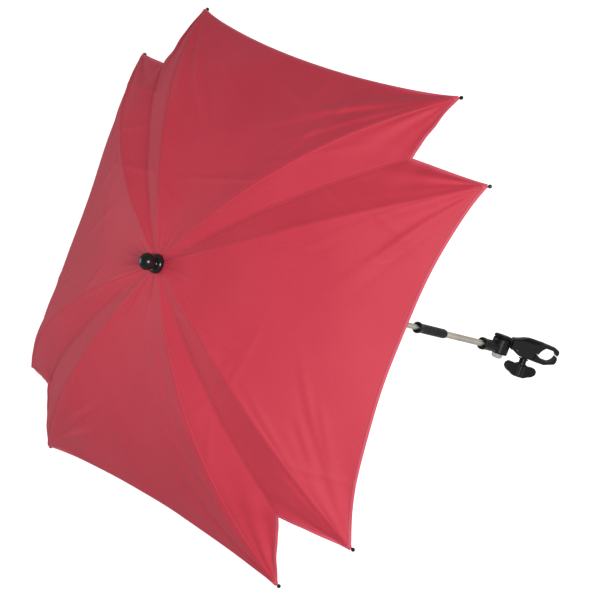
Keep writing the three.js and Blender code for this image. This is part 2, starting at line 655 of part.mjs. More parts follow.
function makeSwivelBolt() {
  const headBottom = EAR_BOTTOM + 1.5;
  const end = HOLLOW_TOP - NUT_HEIGHT - 2;
  return revolve([
    [0, end], [BOLT_RADIUS, end], [BOLT_RADIUS, headBottom], [BOLT_HEAD, headBottom],
    [BOLT_HEAD, EAR_TOP - 1.2], [BOLT_HEAD - 0.8, EAR_TOP - CLEARANCE],
    [0, EAR_TOP - CLEARANCE],
  ]);
}

function makeSwivelNut() {
  const top = HOLLOW_TOP - CLEARANCE;
  const bore = BOLT_RADIUS + CLEARANCE;
  const hexagon = rod(6.6, top - NUT_HEIGHT, top, 6);
  return combine(hexagon, [], [rod(bore, top - NUT_HEIGHT - 1, top + 1)]);
}

// ---------------------------------------------------------------- clamp, in its own frame

const MOUTH_TOP = MOUTH_W + MOUTH_HEIGHT / 2;
const MOUTH_BOTTOM = MOUTH_W - MOUTH_HEIGHT / 2;
const SEAT_START = MOUTH_U - SEAT_LENGTH / 2;
const SEAT_END = MOUTH_U + SEAT_LENGTH / 2;
const MOUTH_BACK = MOUTH_U - 12.6;
const MOUTH_FRONT = MOUTH_U + 13;
const JAW_TIP = MOUTH_FRONT + 2;
const SPLIT_W = 9; // where the two jaws part, at the back of the mouth
const SLIT_W = 15.9; // and at its front
const CAVITY_TOP = JAW_PIN_W + JAW_KNUCKLE_RADIUS + 1;
const REAR_U = BARREL_RADIUS + 2 * CLEARANCE;
const REAR_BOTTOM = 4;
const SKIRT_FRONT = MOUTH_BACK - 3;
const SKIRT_RAKE = 2.5; // lets the jaw swing past the skirt's lower corner
const SKIRT_BOTTOM = -1.3;
const CLAMP_TOP = 27.8;
const SHOULDER = CLAMP_TOP - 6.3; // top edge of the side walls, beside the screw
const JAW_BOTTOM = MOUTH_BOTTOM - 6;

// Height of the body's top edge: low beside the barrel, level with the roof round the mouth.
function shoulderHeight(u) {
  const { smoothstep } = THREE.MathUtils;
  const rear = EAR_TOP - 0.8;
  const climb = (SHOULDER - rear) * smoothstep(u, REAR_U, SCREW_U - 7);
  const merge = (CLAMP_TOP - SHOULDER) * smoothstep(u, SCREW_U + 5, MOUTH_BACK + 4);
  return rear + climb + merge;
}

// The space under the body's crowned roof, between its side walls.
function makeHood() {
  const half = CLAMP_WIDTH / 2;
  const section = new THREE.Shape();
  section.moveTo(-half, -1);
  section.lineTo(half, -1);
  section.lineTo(half, 0);
  section.bezierCurveTo(half - 1.5, 0.65, half / 2, 1, 0, 1);
  section.bezierCurveTo(-half / 2, 1, 1.5 - half, 0.65, -half, 0);
  const hood = new THREE.ExtrudeGeometry(section, {
    depth: JAW_TIP + 5, steps: 28, bevelEnabled: false, curveSegments: 5,
  });
  hood.rotateX(Math.PI / 2).rotateZ(Math.PI / 2);
  return reshape(hood, (place) => {
    const edge = shoulderHeight(place.x);
    const roof = edge + place.z * (CLAMP_TOP + 0.3 - edge);
    place.z = place.z < 0 ? SKIRT_BOTTOM - 4 : roof;
  });
}

// The plate over the barrel that the swivel bolt goes through.
function makeEar() {
  const disc = revolve([
    [0, EAR_BOTTOM], [BARREL_RADIUS, EAR_BOTTOM], [BARREL_RADIUS, EAR_TOP - 1.4],
    [BARREL_RADIUS - 1.4, EAR_TOP], [0, EAR_TOP],
  ], 32);
  const half = BARREL_RADIUS - 2.5;
  const neck = box([0, -half, EAR_BOTTOM], [REAR_U + 3, half, EAR_TOP - 0.5]);
  return toSolid(disc).add(toSolid(neck));
}

function makeClampBody() {
  const side = new THREE.Shape();
  side.moveTo(REAR_U, REAR_BOTTOM);
  side.lineTo(REAR_U, EAR_TOP + 1);
  side.bezierCurveTo(REAR_U + 12, EAR_TOP + 3, SCREW_U - 8, CLAMP_TOP, SCREW_U + 2, CLAMP_TOP);
  side.lineTo(SCREW_U + 9, CLAMP_TOP);
  side.lineTo(JAW_TIP - 5, CLAMP_TOP - 1.6);
  side.quadraticCurveTo(JAW_TIP - 0.5, CLAMP_TOP - 2.4, JAW_TIP, CLAMP_TOP - 7);
  side.lineTo(JAW_TIP - 0.6, SLIT_W + 2.2);
  side.lineTo(MOUTH_FRONT, SLIT_W + CLEARANCE);
  side.quadraticCurveTo(MOUTH_FRONT - 2.5, MOUTH_TOP - 0.5, SEAT_END, MOUTH_TOP);
  side.lineTo(SEAT_START, MOUTH_TOP);
  side.quadraticCurveTo(MOUTH_BACK + 2.3, SPLIT_W + 8.5, MOUTH_BACK, SPLIT_W + 0.4);
  side.lineTo(SKIRT_FRONT, CAVITY_TOP);
  side.lineTo(SKIRT_FRONT - SKIRT_RAKE, SKIRT_BOTTOM);
  side.lineTo(JAW_PIN_U + 6, SKIRT_BOTTOM);
  side.quadraticCurveTo(JAW_PIN_U + 1, SKIRT_BOTTOM + 0.6, REAR_U + 5, REAR_BOTTOM);
  const block = toSolid(sidePlate(side, CLAMP_WIDTH, 6));
  const cavityHalf = JAW_TONGUE_WIDTH / 2 + CLEARANCE;
  const cavityStart = JAW_PIN_U - JAW_KNUCKLE_RADIUS - CLEARANCE;
  const cavity = box([cavityStart, -cavityHalf, SKIRT_BOTTOM - 4],
    [SKIRT_FRONT + CLEARANCE, cavityHalf, CAVITY_TOP]);
  const pinBore = crossRod(JAW_PIN_RADIUS + CLEARANCE, 40, JAW_PIN_U, JAW_PIN_W);
  const screwBore = rod(SCREW_RADIUS + CLEARANCE, 0, 40).translate(SCREW_U, 0, 0);
  const hexCorner = (NUT_FLAT + CLEARANCE) / Math.cos(Math.PI / 6);
  const nutTop = NUT_SEAT_W + NUT_THICKNESS + 2 * CLEARANCE;
  const nutSpace = rod(hexCorner, NUT_SEAT_W, nutTop, 6).translate(SCREW_U, 0, 0);
  const boltBore = rod(BOLT_RADIUS + CLEARANCE, 0, 40);
  const boltSeat = rod(BOLT_HEAD + CLEARANCE, EAR_BOTTOM + 1.5 - CLEARANCE, 40);
  let body = block.intersect(toSolid(makeHood())).add(makeEar());
  for (const cut of [cavity, pinBore, screwBore, nutSpace, boltBore, boltSeat]) {
    body = body.subtract(toSolid(cut));
  }
  return toGeometry(body);
}

function makeLowerJaw() {
  const low = JAW_PIN_W - JAW_KNUCKLE_RADIUS;
  const high = JAW_PIN_W + JAW_KNUCKLE_RADIUS;
  const front = SKIRT_FRONT + 2 * CLEARANCE;
  const bar = sidePlate(outline([
    [JAW_PIN_U, low], [front + 1, low], [front + 1, high - 1.2], [front, high],
    [JAW_PIN_U, high],
  ]), JAW_TONGUE_WIDTH);
  const knuckle = crossRod(JAW_KNUCKLE_RADIUS, JAW_TONGUE_WIDTH, JAW_PIN_U, JAW_PIN_W, 20);
  const boss = new THREE.Shape();
  boss.absarc(SCREW_U, JAW_PIN_W, BOSS_RADIUS, Math.PI, 2 * Math.PI, false);
  const seat = sidePlate(boss, JAW_TONGUE_WIDTH, 10);
  const jaw = new THREE.Shape();
  jaw.moveTo(front, high);
  jaw.lineTo(MOUTH_BACK - 0.4, SPLIT_W - CLEARANCE);
  jaw.lineTo(SEAT_START, MOUTH_BOTTOM);
  jaw.lineTo(SEAT_END, MOUTH_BOTTOM);
  jaw.quadraticCurveTo(MOUTH_FRONT - 1.5, MOUTH_BOTTOM + 2.5, MOUTH_FRONT, SLIT_W - CLEARANCE);
  jaw.lineTo(JAW_TIP, SLIT_W - 3);
  jaw.lineTo(JAW_TIP, MOUTH_BOTTOM + 5);
  jaw.quadraticCurveTo(JAW_TIP - 0.3, JAW_BOTTOM + 6.2, JAW_TIP - 3.5, JAW_BOTTOM + 5);
  jaw.lineTo(MOUTH_U - 1, JAW_BOTTOM);
  jaw.lineTo(front - SKIRT_RAKE, JAW_BOTTOM);
  const grip = sidePlate(jaw, CLAMP_WIDTH, 6);
  const slotReach = SCREW_RADIUS + 3.2; // room for the jaw to swing past the screw
  const slot = box([SCREW_U - slotReach, -SCREW_RADIUS - CLEARANCE, -10],
    [SCREW_U + slotReach, SCREW_RADIUS + CLEARANCE, 20]);
  const pinBore = crossRod(JAW_PIN_RADIUS + CLEARANCE, 40, JAW_PIN_U, JAW_PIN_W);
  return combine(bar, [knuckle, seat, grip], [slot, pinBore]);
}

const WASHER_TOP = JAW_PIN_W - BOSS_RADIUS - CLEARANCE;
const STEM_TOP = WASHER_TOP - WASHER_THICKNESS - CLEARANCE;
const KNOB_BOTTOM = KNOB_TOP_W - KNOB_HEIGHT;
const SCREW_BOTTOM = KNOB_BOTTOM + 4;

function makeThrustWasher() {
  const bore = SCREW_RADIUS + CLEARANCE;
  return ring(bore, WASHER_RADIUS, WASHER_TOP - WASHER_THICKNESS, WASHER_TOP);
}

function makeClampScrew() {
  return rod(SCREW_RADIUS, SCREW_BOTTOM + CLEARANCE, CLAMP_TOP - 2.5);
}

function makeClampNut() {
  const bottom = NUT_SEAT_W + CLEARANCE;
  const corner = NUT_FLAT / Math.cos(Math.PI / 6);
  const hexagon = rod(corner, bottom, bottom + NUT_THICKNESS, 6);
  return combine(hexagon, [], [rod(SCREW_RADIUS + CLEARANCE, 0, 40)]);
}

function makeWingKnob() {
  const reach = KNOB_LENGTH / 2 - WING_END;
  const endW = KNOB_TOP_W - WING_DROP;
  const root = STEM_RADIUS + 1.2;
  const wings = new THREE.Shape();
  wings.moveTo(-root, KNOB_TOP_W);
  wings.lineTo(root, KNOB_TOP_W);
  wings.absarc(reach, endW, WING_END, Math.PI / 2, -Math.PI / 2, true);
  wings.lineTo(STEM_RADIUS, KNOB_BOTTOM);
  wings.lineTo(-STEM_RADIUS, KNOB_BOTTOM);
  wings.absarc(-reach, endW, WING_END, -Math.PI / 2, Math.PI / 2, true);
  const hub = revolve([
    [0, KNOB_BOTTOM - 0.4], [STEM_RADIUS, KNOB_BOTTOM - 0.4], [STEM_RADIUS + 2, KNOB_BOTTOM + 1.5],
    [STEM_RADIUS + 2.2, KNOB_TOP_W - 3], [STEM_RADIUS, KNOB_TOP_W + 0.6],
    [STEM_RADIUS, STEM_TOP], [0, STEM_TOP],
  ]);
  const bore = rod(SCREW_RADIUS + CLEARANCE, SCREW_BOTTOM, 10);
  return combine(hub, [sidePlate(wings, WING_THICKNESS, 8, 1.8)], [bore]);
}

function makeJawPin() {
  return crossRod(JAW_PIN_RADIUS, CLAMP_WIDTH - 1, JAW_PIN_U, JAW_PIN_W);
}

// ---------------------------------------------------------------- assembly

const {
  fabric, blackPlastic, glossBlack, steel, darkSteel, clearWhite,
} = MATERIALS;

// One eighth of the canopy: a rib with its stretcher, its tip and its share of the fabric.
function makeStation({ angle, side }, number) {
  const station = new THREE.Group();
  station.rotation.z = angle;
  station.add(piece(`rib_${number}`, makeRib(side), darkSteel));
  station.add(piece(`canopy_panel_${number}`, makeCanopyPanel(side), fabric));
  const stretcher = piece(`stretcher_${number}`, makeStretcher(side), darkSteel);
  stretcher.position.set(RIVET_X, side * sideways(RIVET_X), RIVET_Z);
  stretcher.rotation.y = Math.PI - ARM_ANGLE;
  station.add(stretcher);
  const tip = piece(`tip_cap_${number}`, makeTipCap(), blackPlastic);
  const [tipX, tipZ] = underFabric(CHANNEL_END, RIB_MIDDLE);
  tip.position.set(tipX, side * sideways(CHANNEL_END), tipZ);
  tip.rotation.y = Math.PI / 2 + ribSlope(TIP_RADIUS);
  station.add(tip);
  return station;
}

function makeCanopy() {
  const canopy = new THREE.Group();
  canopy.position.z = TIP_HEIGHT;
  RIB_STATIONS.forEach((station, i) => canopy.add(makeStation(station, i + 1)));
  canopy.add(piece('crown', makeCrown(), blackPlastic));
  canopy.add(piece('crown_wire', makePivotWire(PIVOT_Z), darkSteel));
  canopy.add(piece('runner', makeRunner(), blackPlastic));
  canopy.add(piece('runner_wire', makePivotWire(RUNNER_PIVOT_Z), darkSteel));
  const cap = piece('top_cap', makeTopCap(), glossBlack);
  cap.position.z = APEX_RISE;
  canopy.add(cap);
  return canopy;
}

function makeShaft() {
  const shaft = new THREE.Group();
  const lowerInner = LOWER_TUBE_RADIUS - TUBE_WALL;
  const tubeFoot = BARREL_HOLLOW + 2 + CLEARANCE;
  const lowerTube = ring(lowerInner, LOWER_TUBE_RADIUS, tubeFoot, LOWER_TUBE_TOP);
  const pin = crossRod(KNUCKLE_PIN_RADIUS, 2 * (LOWER_TUBE_RADIUS - 0.4), 0, PIN_HEIGHT);
  shaft.add(piece('upper_tube', makeUpperTube(), steel));
  shaft.add(piece('catch_spring', makeCatchSpring(), darkSteel));
  shaft.add(piece('upper_knuckle', makeUpperKnuckle(), blackPlastic));
  shaft.add(piece('knuckle_pin', pin, darkSteel));
  shaft.add(piece('lower_knuckle', makeLowerKnuckle(), blackPlastic));
  shaft.add(piece('sleeve', makeSleeve(), blackPlastic));
  shaft.add(piece('lower_tube', lowerTube, steel));
  return shaft;
}

function makeSwivel() {
  const swivel = new THREE.Group();
  swivel.rotation.y = Math.PI / 2;
  swivel.add(piece('socket', makeSocket(), blackPlastic));
  swivel.add(piece('push_button', makePushButton(), clearWhite));
  swivel.add(piece('button_spring', makeButtonSpring(), darkSteel));
  return swivel;
}

function makeClamp() {
  const frame = new THREE.Group();
  frame.rotation.y = Math.PI / 2;
  frame.add(piece('clamp_body', makeClampBody(), blackPlastic));
  frame.add(piece('swivel_bolt', makeSwivelBolt(), darkSteel));
  frame.add(piece('swivel_nut', makeSwivelNut(), darkSteel));
  frame.add(piece('lower_jaw', makeLowerJaw(), blackPlastic));
  frame.add(piece('jaw_pin', makeJawPin(), darkSteel));
  frame.add(piece('clamp_nut', makeClampNut(), darkSteel));
  const atScrew = new THREE.Group();
  atScrew.position.x = SCREW_U;
  atScrew.rotation.z = KNOB_TURN;
  atScrew.add(piece('thrust_washer', makeThrustWasher(), darkSteel));
  atScrew.add(piece('clamp_screw', makeClampScrew(), darkSteel));
  atScrew.add(piece('wing_knob', makeWingKnob(), blackPlastic));
  frame.add(atScrew);
  frame.getObjectByName('clamp_nut').position.x = SCREW_U;
  const clamp = new THREE.Group();
  clamp.rotation.x = -SWIVEL_REST;
  clamp.add(frame);
  return clamp;
}

const parasol = new THREE.Group();
parasol.add(makeCanopy(), makeShaft(), makeSwivel(), makeClamp());
const mouthLateral = MOUTH_U * Math.sin(SWIVEL_REST);
const mouthDrop = MOUTH_U * Math.cos(SWIVEL_REST);
parasol.position.set(-MOUTH_W, mouthLateral, mouthDrop);

export default parasol;
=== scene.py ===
"""Clip-on square parasol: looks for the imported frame. Metres, +Z up along the shaft."""
import json
import math

import bmesh
import bpy
import numpy as np
from mathutils import Matrix, Vector


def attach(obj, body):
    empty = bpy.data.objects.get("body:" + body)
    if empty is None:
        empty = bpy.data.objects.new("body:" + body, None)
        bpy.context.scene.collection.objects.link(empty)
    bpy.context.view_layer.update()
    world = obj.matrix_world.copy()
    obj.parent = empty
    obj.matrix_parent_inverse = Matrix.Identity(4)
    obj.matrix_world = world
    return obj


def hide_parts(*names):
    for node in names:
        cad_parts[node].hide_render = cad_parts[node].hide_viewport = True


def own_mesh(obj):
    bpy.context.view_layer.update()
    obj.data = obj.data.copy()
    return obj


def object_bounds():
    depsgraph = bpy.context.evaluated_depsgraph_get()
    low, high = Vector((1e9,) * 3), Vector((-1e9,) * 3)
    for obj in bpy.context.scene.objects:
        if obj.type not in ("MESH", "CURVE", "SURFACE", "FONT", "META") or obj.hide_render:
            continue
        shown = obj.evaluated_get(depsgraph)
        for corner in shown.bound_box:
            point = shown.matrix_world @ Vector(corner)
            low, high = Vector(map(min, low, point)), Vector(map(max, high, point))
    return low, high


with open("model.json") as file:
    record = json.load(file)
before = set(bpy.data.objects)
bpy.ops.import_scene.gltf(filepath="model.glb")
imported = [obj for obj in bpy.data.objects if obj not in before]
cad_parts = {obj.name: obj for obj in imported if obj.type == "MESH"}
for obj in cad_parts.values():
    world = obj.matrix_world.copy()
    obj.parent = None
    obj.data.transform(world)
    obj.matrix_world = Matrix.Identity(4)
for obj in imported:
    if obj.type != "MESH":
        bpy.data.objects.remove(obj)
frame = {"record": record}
CAD_BOX = [list(map(float, corner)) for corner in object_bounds()]
MM = 0.001

# ------------------------------------------------------------------ places, as in the CAD model
MOUTH_U, MOUTH_W = 66.0, 13.2
SWIVEL = math.radians(45)
ORIGIN = np.array([-MOUTH_W, MOUTH_U * math.sin(SWIVEL), MOUTH_U * math.cos(SWIVEL)])
TIP_RADIUS, TIP_HEIGHT, APEX_RISE = 370.0, 558.0, 144.0
TIP_HALF = math.radians(8.94)
CONE_SHARE, POWER = 0.12, 2.5
RIB_BOW = 8.5
HEM_CUT, HEM_POWER, NOTCH_CUT, NOTCH_POWER = 0.0755, 0.68, 0.159, 0.9
SEAM_DIP, GORE_DIP = 10.0, 6.0
HUB_RADIUS, PIVOT_CIRCLE, PIVOT_DEPTH = 13.0, 10.0, 6.5
FABRIC_BORE = 4.75
RIB_WIDTH = 3.2
SKEW = math.pi / 8 - TIP_HALF
PIVOT_Y = PIVOT_CIRCLE * math.sin(SKEW)
STATIONS = []
for corner in (45, 135, 225, 315):
    STATIONS.append((math.radians(corner) - TIP_HALF, -1))
    STATIONS.append((math.radians(corner) + TIP_HALF, 1))
rng = np.random.default_rng(7)


def rise(radius):
    share = np.maximum(radius, 0) / TIP_RADIUS
    return APEX_RISE * (1 - CONE_SHARE * share - (1 - CONE_SHARE) * share ** POWER)


def sideways(radius):
    start = HUB_RADIUS + 2
    share = np.clip((radius - start) / (TIP_RADIUS - start), 0, 1)
    return PIVOT_Y * (1 - share) + 4 * RIB_BOW * share * (1 - share)


# ------------------------------------------------------------------ mesh helpers
SHARP_FOLD = math.radians(50)


def make(name, verts, faces, body, material, node=None):
    """A mesh object from points in millimetres about the swivel axis."""
    mesh = bpy.data.meshes.new(name)
    points = (np.asarray(verts, float) + ORIGIN) * MM
    mesh.from_pydata(points.tolist(), [], faces)
    mesh.validate()
    obj = bpy.data.objects.new(name, mesh)
    bpy.context.scene.collection.objects.link(obj)
    work = bmesh.new()
    work.from_mesh(mesh)
    bmesh.ops.recalc_face_normals(work, faces=work.faces)
    for edge in work.edges:
        edge.smooth = edge.calc_face_angle(0) < SHARP_FOLD
    work.to_mesh(mesh)
    work.free()
    mesh.shade_smooth()
    mesh.materials.append(material)
    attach(obj, body)
    if node:
        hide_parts(*([node] if isinstance(node, str) else node))
    return obj


# ------------------------------------------------------------------ material helpers
MIX_FACTOR, MIX_A, MIX_B, MIX_RESULT = 0, 6, 7, 2


def math_node(tree, op, *values, clamp=False):
    """A math node fed by sockets or plain numbers; gives its output."""
    made = tree.nodes.new("ShaderNodeMath")
    made.operation = op
    made.use_clamp = clamp
    for i, value in enumerate(values):
        if hasattr(value, "links"):
            tree.links.new(value, made.inputs[i])
        else:
            made.inputs[i].default_value = value
    return made.outputs[0]


class Nodes:
    """A short way to write a node tree."""

    def __init__(self, name):
        self.material = bpy.data.materials.new(name)
        self.material.use_nodes = True
        self.tree = self.material.node_tree
        self.shader = self.tree.nodes["Principled BSDF"]

    def node(self, kind, **settings):
        made = self.tree.nodes.new(kind)
        for key, value in settings.items():
            if key.startswith("in_"):
                made.inputs[key[3:].replace("_", " ")].default_value = value
            else:
                setattr(made, key, value)
        return made

    def link(self, out, into):
        self.tree.links.new(out, into)

    def math(self, op, *values, clamp=False):
        return math_node(self.tree, op, *values, clamp=clamp)

    def mix(self, factor, a, b):
        made = self.tree.nodes.new("ShaderNodeMix")
        made.data_type = "RGBA"
        for i, value in ((MIX_FACTOR, factor), (MIX_A, a), (MIX_B, b)):
            if hasattr(value, "links"):
                self.link(value, made.inputs[i])
            else:
                made.inputs[i].default_value = value
        return made.outputs[MIX_RESULT]

    def noise(self, vector, scale, detail=2.0, rough=0.5):
        made = self.node("ShaderNodeTexNoise")
        made.inputs["Scale"].default_value = scale
        made.inputs["Detail"].default_value = detail
        made.inputs["Roughness"].default_value = rough
        self.link(vector, made.inputs["Vector"])
        return made.outputs["Fac"]

    def ramp(self, value, low, high, out_low=0.0, out_high=1.0):
        made = self.node("ShaderNodeMapRange")
        made.inputs["From Min"].default_value = low
        made.inputs["From Max"].default_value = high
        made.inputs["To Min"].default_value = out_low
        made.inputs["To Max"].default_value = out_high
        self.link(value, made.inputs["Value"])
        return made.outputs[0]

    def bump(self, height, strength, distance):
        made = self.node("ShaderNodeBump")
        made.inputs["Strength"].default_value = strength
        made.inputs["Distance"].default_value = distance
        self.link(height, made.inputs["Height"])
        return made.outputs[0]


def rgb(r, g, b):
    """sRGB 0-255 to linear."""
    def lin(v):
        v /= 255
        return v / 12.92 if v <= 0.04045 else ((v + 0.055) / 1.055) ** 2.4
    return (lin(r), lin(g), lin(b), 1)


THREAD_PITCH = 0.9 * MM
SHEEN = 0.22


def fabric_material():
    n = Nodes("canopy_fabric")
    coords = n.node("ShaderNodeTexCoord")
    uv = coords.outputs["UV"]
    split = n.node("ShaderNodeSeparateXYZ")
    n.link(uv, split.inputs[0])
    warp = n.math("SINE", n.math("MULTIPLY", split.outputs[0], 2 * math.pi / THREAD_PITCH))
    weft = n.math("SINE", n.math("MULTIPLY", split.outputs[1], 2 * math.pi / THREAD_PITCH))
    weave = n.math("MULTIPLY", warp, weft)
    slub = n.noise(uv, 260, 3, 0.6)
    cloud = n.noise(coords.outputs["Object"], 9, 3, 0.55)
    tone = n.mix(n.ramp(cloud, 0.3, 0.7), rgb(205, 53, 72), rgb(213, 61, 80))
    tone = n.mix(n.math("MULTIPLY", n.ramp(slub, 0.35, 0.7), 0.25, clamp=True), tone,
                 rgb(216, 74, 92))
    tone = n.mix(n.math("MULTIPLY", n.ramp(weave, -1, 1), 0.12, clamp=True), tone,
                 rgb(176, 42, 60))
    painted_shade = n.node("ShaderNodeAttribute", attribute_name="painted_shade").outputs["Fac"]
    hem_band_and_highlight = n.node("ShaderNodeAttribute", attribute_name="hem_band_and_highlight").outputs["Fac"]
    # The hem band made lighter: partly its doubled cloth, partly painted highlight where the
    # raised hem catches the light.
    tone = n.mix(n.math("MULTIPLY", hem_band_and_highlight, 0.5), tone, rgb(238, 104, 122))
    # Painted shade: a darker tone in the stitched grooves, along the seam lines and on the rolled
    # outer edge.
    tone = n.mix(n.math("MULTIPLY", painted_shade, 0.45), tone, rgb(120, 22, 40))
    n.link(tone, n.shader.inputs["Base Color"])
    n.shader.inputs["Roughness"].default_value = 0.62
    n.shader.inputs["Specular IOR Level"].default_value = 0.3
    n.shader.inputs["Sheen Weight"].default_value = SHEEN
    n.shader.inputs["Sheen Roughness"].default_value = 0.4
    n.shader.inputs["Sheen Tint"].default_value = rgb(255, 165, 178)
    height = n.math("ADD", n.math("MULTIPLY", weave, 0.5), n.math("MULTIPLY", slub, 0.8))
    n.link(n.bump(height, 0.25, 0.00008), n.shader.inputs["Normal"])
    return n.material


def plastic_material(name, colour, rough, grain=0.35, scale=900.0, mirror=0.5):
    n = Nodes(name)
    n.shader.inputs["Specular IOR Level"].default_value = mirror
    coords = n.node("ShaderNodeTexCoord").outputs["Object"]
    fine = n.noise(coords, scale, 3, 0.6)
    broad = n.noise(coords, 40, 4, 0.6)
    lift = tuple(min(1, c * 1.5 + 0.004) for c in colour[:3]) + (1,)
    n.link(n.mix(n.ramp(broad, 0.35, 0.7), colour, lift), n.shader.inputs["Base Color"])
    n.link(n.ramp(n.math("ADD", n.math("MULTIPLY", fine, 0.4), n.math("MULTIPLY", broad, 0.6)),
                  0.3, 0.7, rough - 0.07, rough + 0.09), n.shader.inputs["Roughness"])
    n.link(n.bump(fine, grain, 0.00012), n.shader.inputs["Normal"])
    return n.material


DRAWN_TURN = 0.25
BRUSHED, EVEN = (1, 1, 0.02), (1, 1, 1)


def metal_material(name, colour, rough, brushed=True, drawn=0.0):
    n = Nodes(name)
    if drawn:
        round_z = n.node("ShaderNodeTangent", direction_type="RADIAL", axis="Z")
        n.link(round_z.outputs[0], n.shader.inputs["Tangent"])
        n.shader.inputs["Anisotropic"].default_value = drawn
        n.shader.inputs["Anisotropic Rotation"].default_value = DRAWN_TURN
    coords = n.node("ShaderNodeTexCoord").outputs["Object"]
    place = n.node("ShaderNodeMapping")
    place.inputs["Scale"].default_value = BRUSHED if brushed else EVEN
    n.link(coords, place.inputs["Vector"])
    lines = n.noise(place.outputs[0], 1800, 3, 0.65)
    broad = n.noise(coords, 35, 4, 0.6)
    dull = tuple(c * 0.8 for c in colour[:3]) + (1,)
    n.link(n.mix(n.ramp(broad, 0.35, 0.75), colour, dull), n.shader.inputs["Base Color"])
    n.shader.inputs["Metallic"].default_value = 1.0
    n.link(n.ramp(lines, 0.3, 0.7, rough - 0.06, rough + 0.08), n.shader.inputs["Roughness"])
    n.link(n.bump(lines, 0.06, 0.00002), n.shader.inputs["Normal"])
    return n.material


def thread_material():
    n = Nodes("thread")
    coords = n.node("ShaderNodeTexCoord").outputs["Object"]
    twist = n.noise(coords, 2600, 2, 0.5)
    n.link(n.mix(n.ramp(twist, 0.3, 0.7), rgb(150, 30, 50), rgb(196, 62, 84)),
           n.shader.inputs["Base Color"])
    n.shader.inputs["Roughness"].default_value = 0.6
    n.link(n.bump(twist, 0.4, 0.0001), n.shader.inputs["Normal"])
    return n.material


FABRIC = fabric_material()
THREAD = thread_material()
BLACK = plastic_material("black_moulded", rgb(22, 22, 23), 0.36, mirror=0.22)
# A darker, rougher copy of the black plastic for the clamp body and jaw: its duller gloss is the
# finish, its darker base colour is painted shade.
SHADED_SATIN = plastic_material("black_satin", rgb(17, 17, 18), 0.5, 0.3, 700, mirror=0.12)
GLOSS = plastic_material("black_gloss", rgb(14, 14, 15), 0.2, 0.08, 300)
TUBE = metal_material("drawn_tube", rgb(226, 219, 206), 0.34, drawn=0.85)
RIB = metal_material("dark_rib", rgb(70, 70, 73), 0.42)
HARDWARE = metal_material("zinc_plate", rgb(150, 150, 152), 0.35, False)
BLACKED = metal_material("blackened_steel", rgb(52, 52, 55), 0.4, False)
MILKY = plastic_material("milky_plastic", rgb(176, 178, 183), 0.26, 0.1, 400)

FINISH = {
    "canopy": FABRIC, "black_plastic": BLACK, "gloss_black": GLOSS, "tube_steel": TUBE,
    "rib_steel": RIB, "hardware": HARDWARE, "button_white": MILKY,
}
DARK_STEEL = ("jaw_pin", "thrust_washer", "clamp_screw", "swivel_bolt")
for entry in frame["record"]["subparts"]:
    node = bpy.data.objects.get(entry["node"])
    if node is not None:
        node.data.materials.clear()
        dark = entry["node"] in DARK_STEEL
        node.data.materials.append(BLACKED if dark else FINISH[entry["material_slot"]])


# ------------------------------------------------------------------ canopy
RIB_SEAT = 0.3


def fabric_grid(along, width, wide):
    """Points of the cloth beside a rib, in the rib's frame: arrays of x, y and height."""
    if wide:
        fold = width * (2 - width)
        cut = HEM_CUT * fold ** HEM_POWER
        half = math.pi / 4 - TIP_HALF
        sink = GORE_DIP * np.sin(math.pi * along) * fold
    else:
        fold = width
        cut = NOTCH_CUT * fold ** NOTCH_POWER
        half = -TIP_HALF
        sink = SEAM_DIP * np.sin(np.minimum(1, 1.4 * along) * math.pi / 2) * fold
    radius = FABRIC_BORE + along * (TIP_RADIUS * (1 - cut) - FABRIC_BORE)
    seat = np.minimum(RIB_WIDTH / 2 + RIB_SEAT, radius / 10)
    x, y = radius, sideways(radius) + (seat if wide else -seat)
    reach = x * math.cos(half) + y * math.sin(half)
    flat_x = x + width * (reach * math.cos(half) - x)
    flat_y = y + width * (reach * math.sin(half) - y)
    return flat_x, flat_y, rise(radius) - sink


def turn(x, y, angle):
    return (x * math.cos(angle) - y * math.sin(angle), x * math.sin(angle) + y * math.cos(angle))


# Seeded folds: the draws are made in this order.
PHASES = rng.uniform(0, 2 * math.pi, 24)
PACKED_FOLDS, PACKED_LIFT, PACKED_WIDTH = 30, 1.15, 3.6
PACKED = list(zip(
    rng.uniform(0.3, 0.86, PACKED_FOLDS), rng.uniform(0, 2 * math.pi, PACKED_FOLDS),
    rng.uniform(0, math.pi, PACKED_FOLDS), rng.uniform(28, 75, PACKED_FOLDS)))
TENSION, TIP_FOLDS = [], 4
for angle, side in STATIONS:
    for lean, near, far in zip(rng.uniform(7, 31, TIP_FOLDS), rng.uniform(22, 90, TIP_FOLDS),
                               rng.uniform(130, 215, TIP_FOLDS)):
        TENSION.append((angle, angle + math.pi - side * math.radians(lean), near, far))
TENSION_LIFT, TENSION_WIDTH = 1.25, 3.8
PUCKER_LIFT, PUCKER_RING, PUCKER_SPREAD = 0.6, 26, 34
PULL_LIFT, PULL_AWAY, PULL_SPREAD = 1.15, 44, 62


def tension(x, y):
    """Straight folds that run from each tip into the wide gore."""
    lift = np.zeros_like(x)
    for angle, heading, near, far in TENSION:
        dx, dy = x - TIP_RADIUS * math.cos(angle), y - TIP_RADIUS * math.sin(angle)
        along = dx * math.cos(heading) + dy * math.sin(heading)
        across = dy * math.cos(heading) - dx * math.sin(heading)
        middle, half = (near + far) / 2, (far - near) / 2
        lift += np.exp(-(across / TENSION_WIDTH) ** 2 - ((along - middle) / half) ** 4)
        lift -= 0.5 * np.exp(-((across - 2 * TENSION_WIDTH) / TENSION_WIDTH) ** 2
                             - ((along - middle) / half) ** 4)
    return TENSION_LIFT * lift


def packed(x, y):
    """Faint straight creases left in the cloth by packing."""
    lift = np.zeros_like(x)
    for ring, angle, heading, reach in PACKED:
        dx = x - ring * TIP_RADIUS * math.cos(angle)
        dy = y - ring * TIP_RADIUS * math.sin(angle)
        along = dx * math.cos(heading) + dy * math.sin(heading)
        across = dy * math.cos(heading) - dx * math.sin(heading)
        lift += np.exp(-(across / PACKED_WIDTH) ** 2 - (along / reach) ** 4)
    return PACKED_LIFT * lift


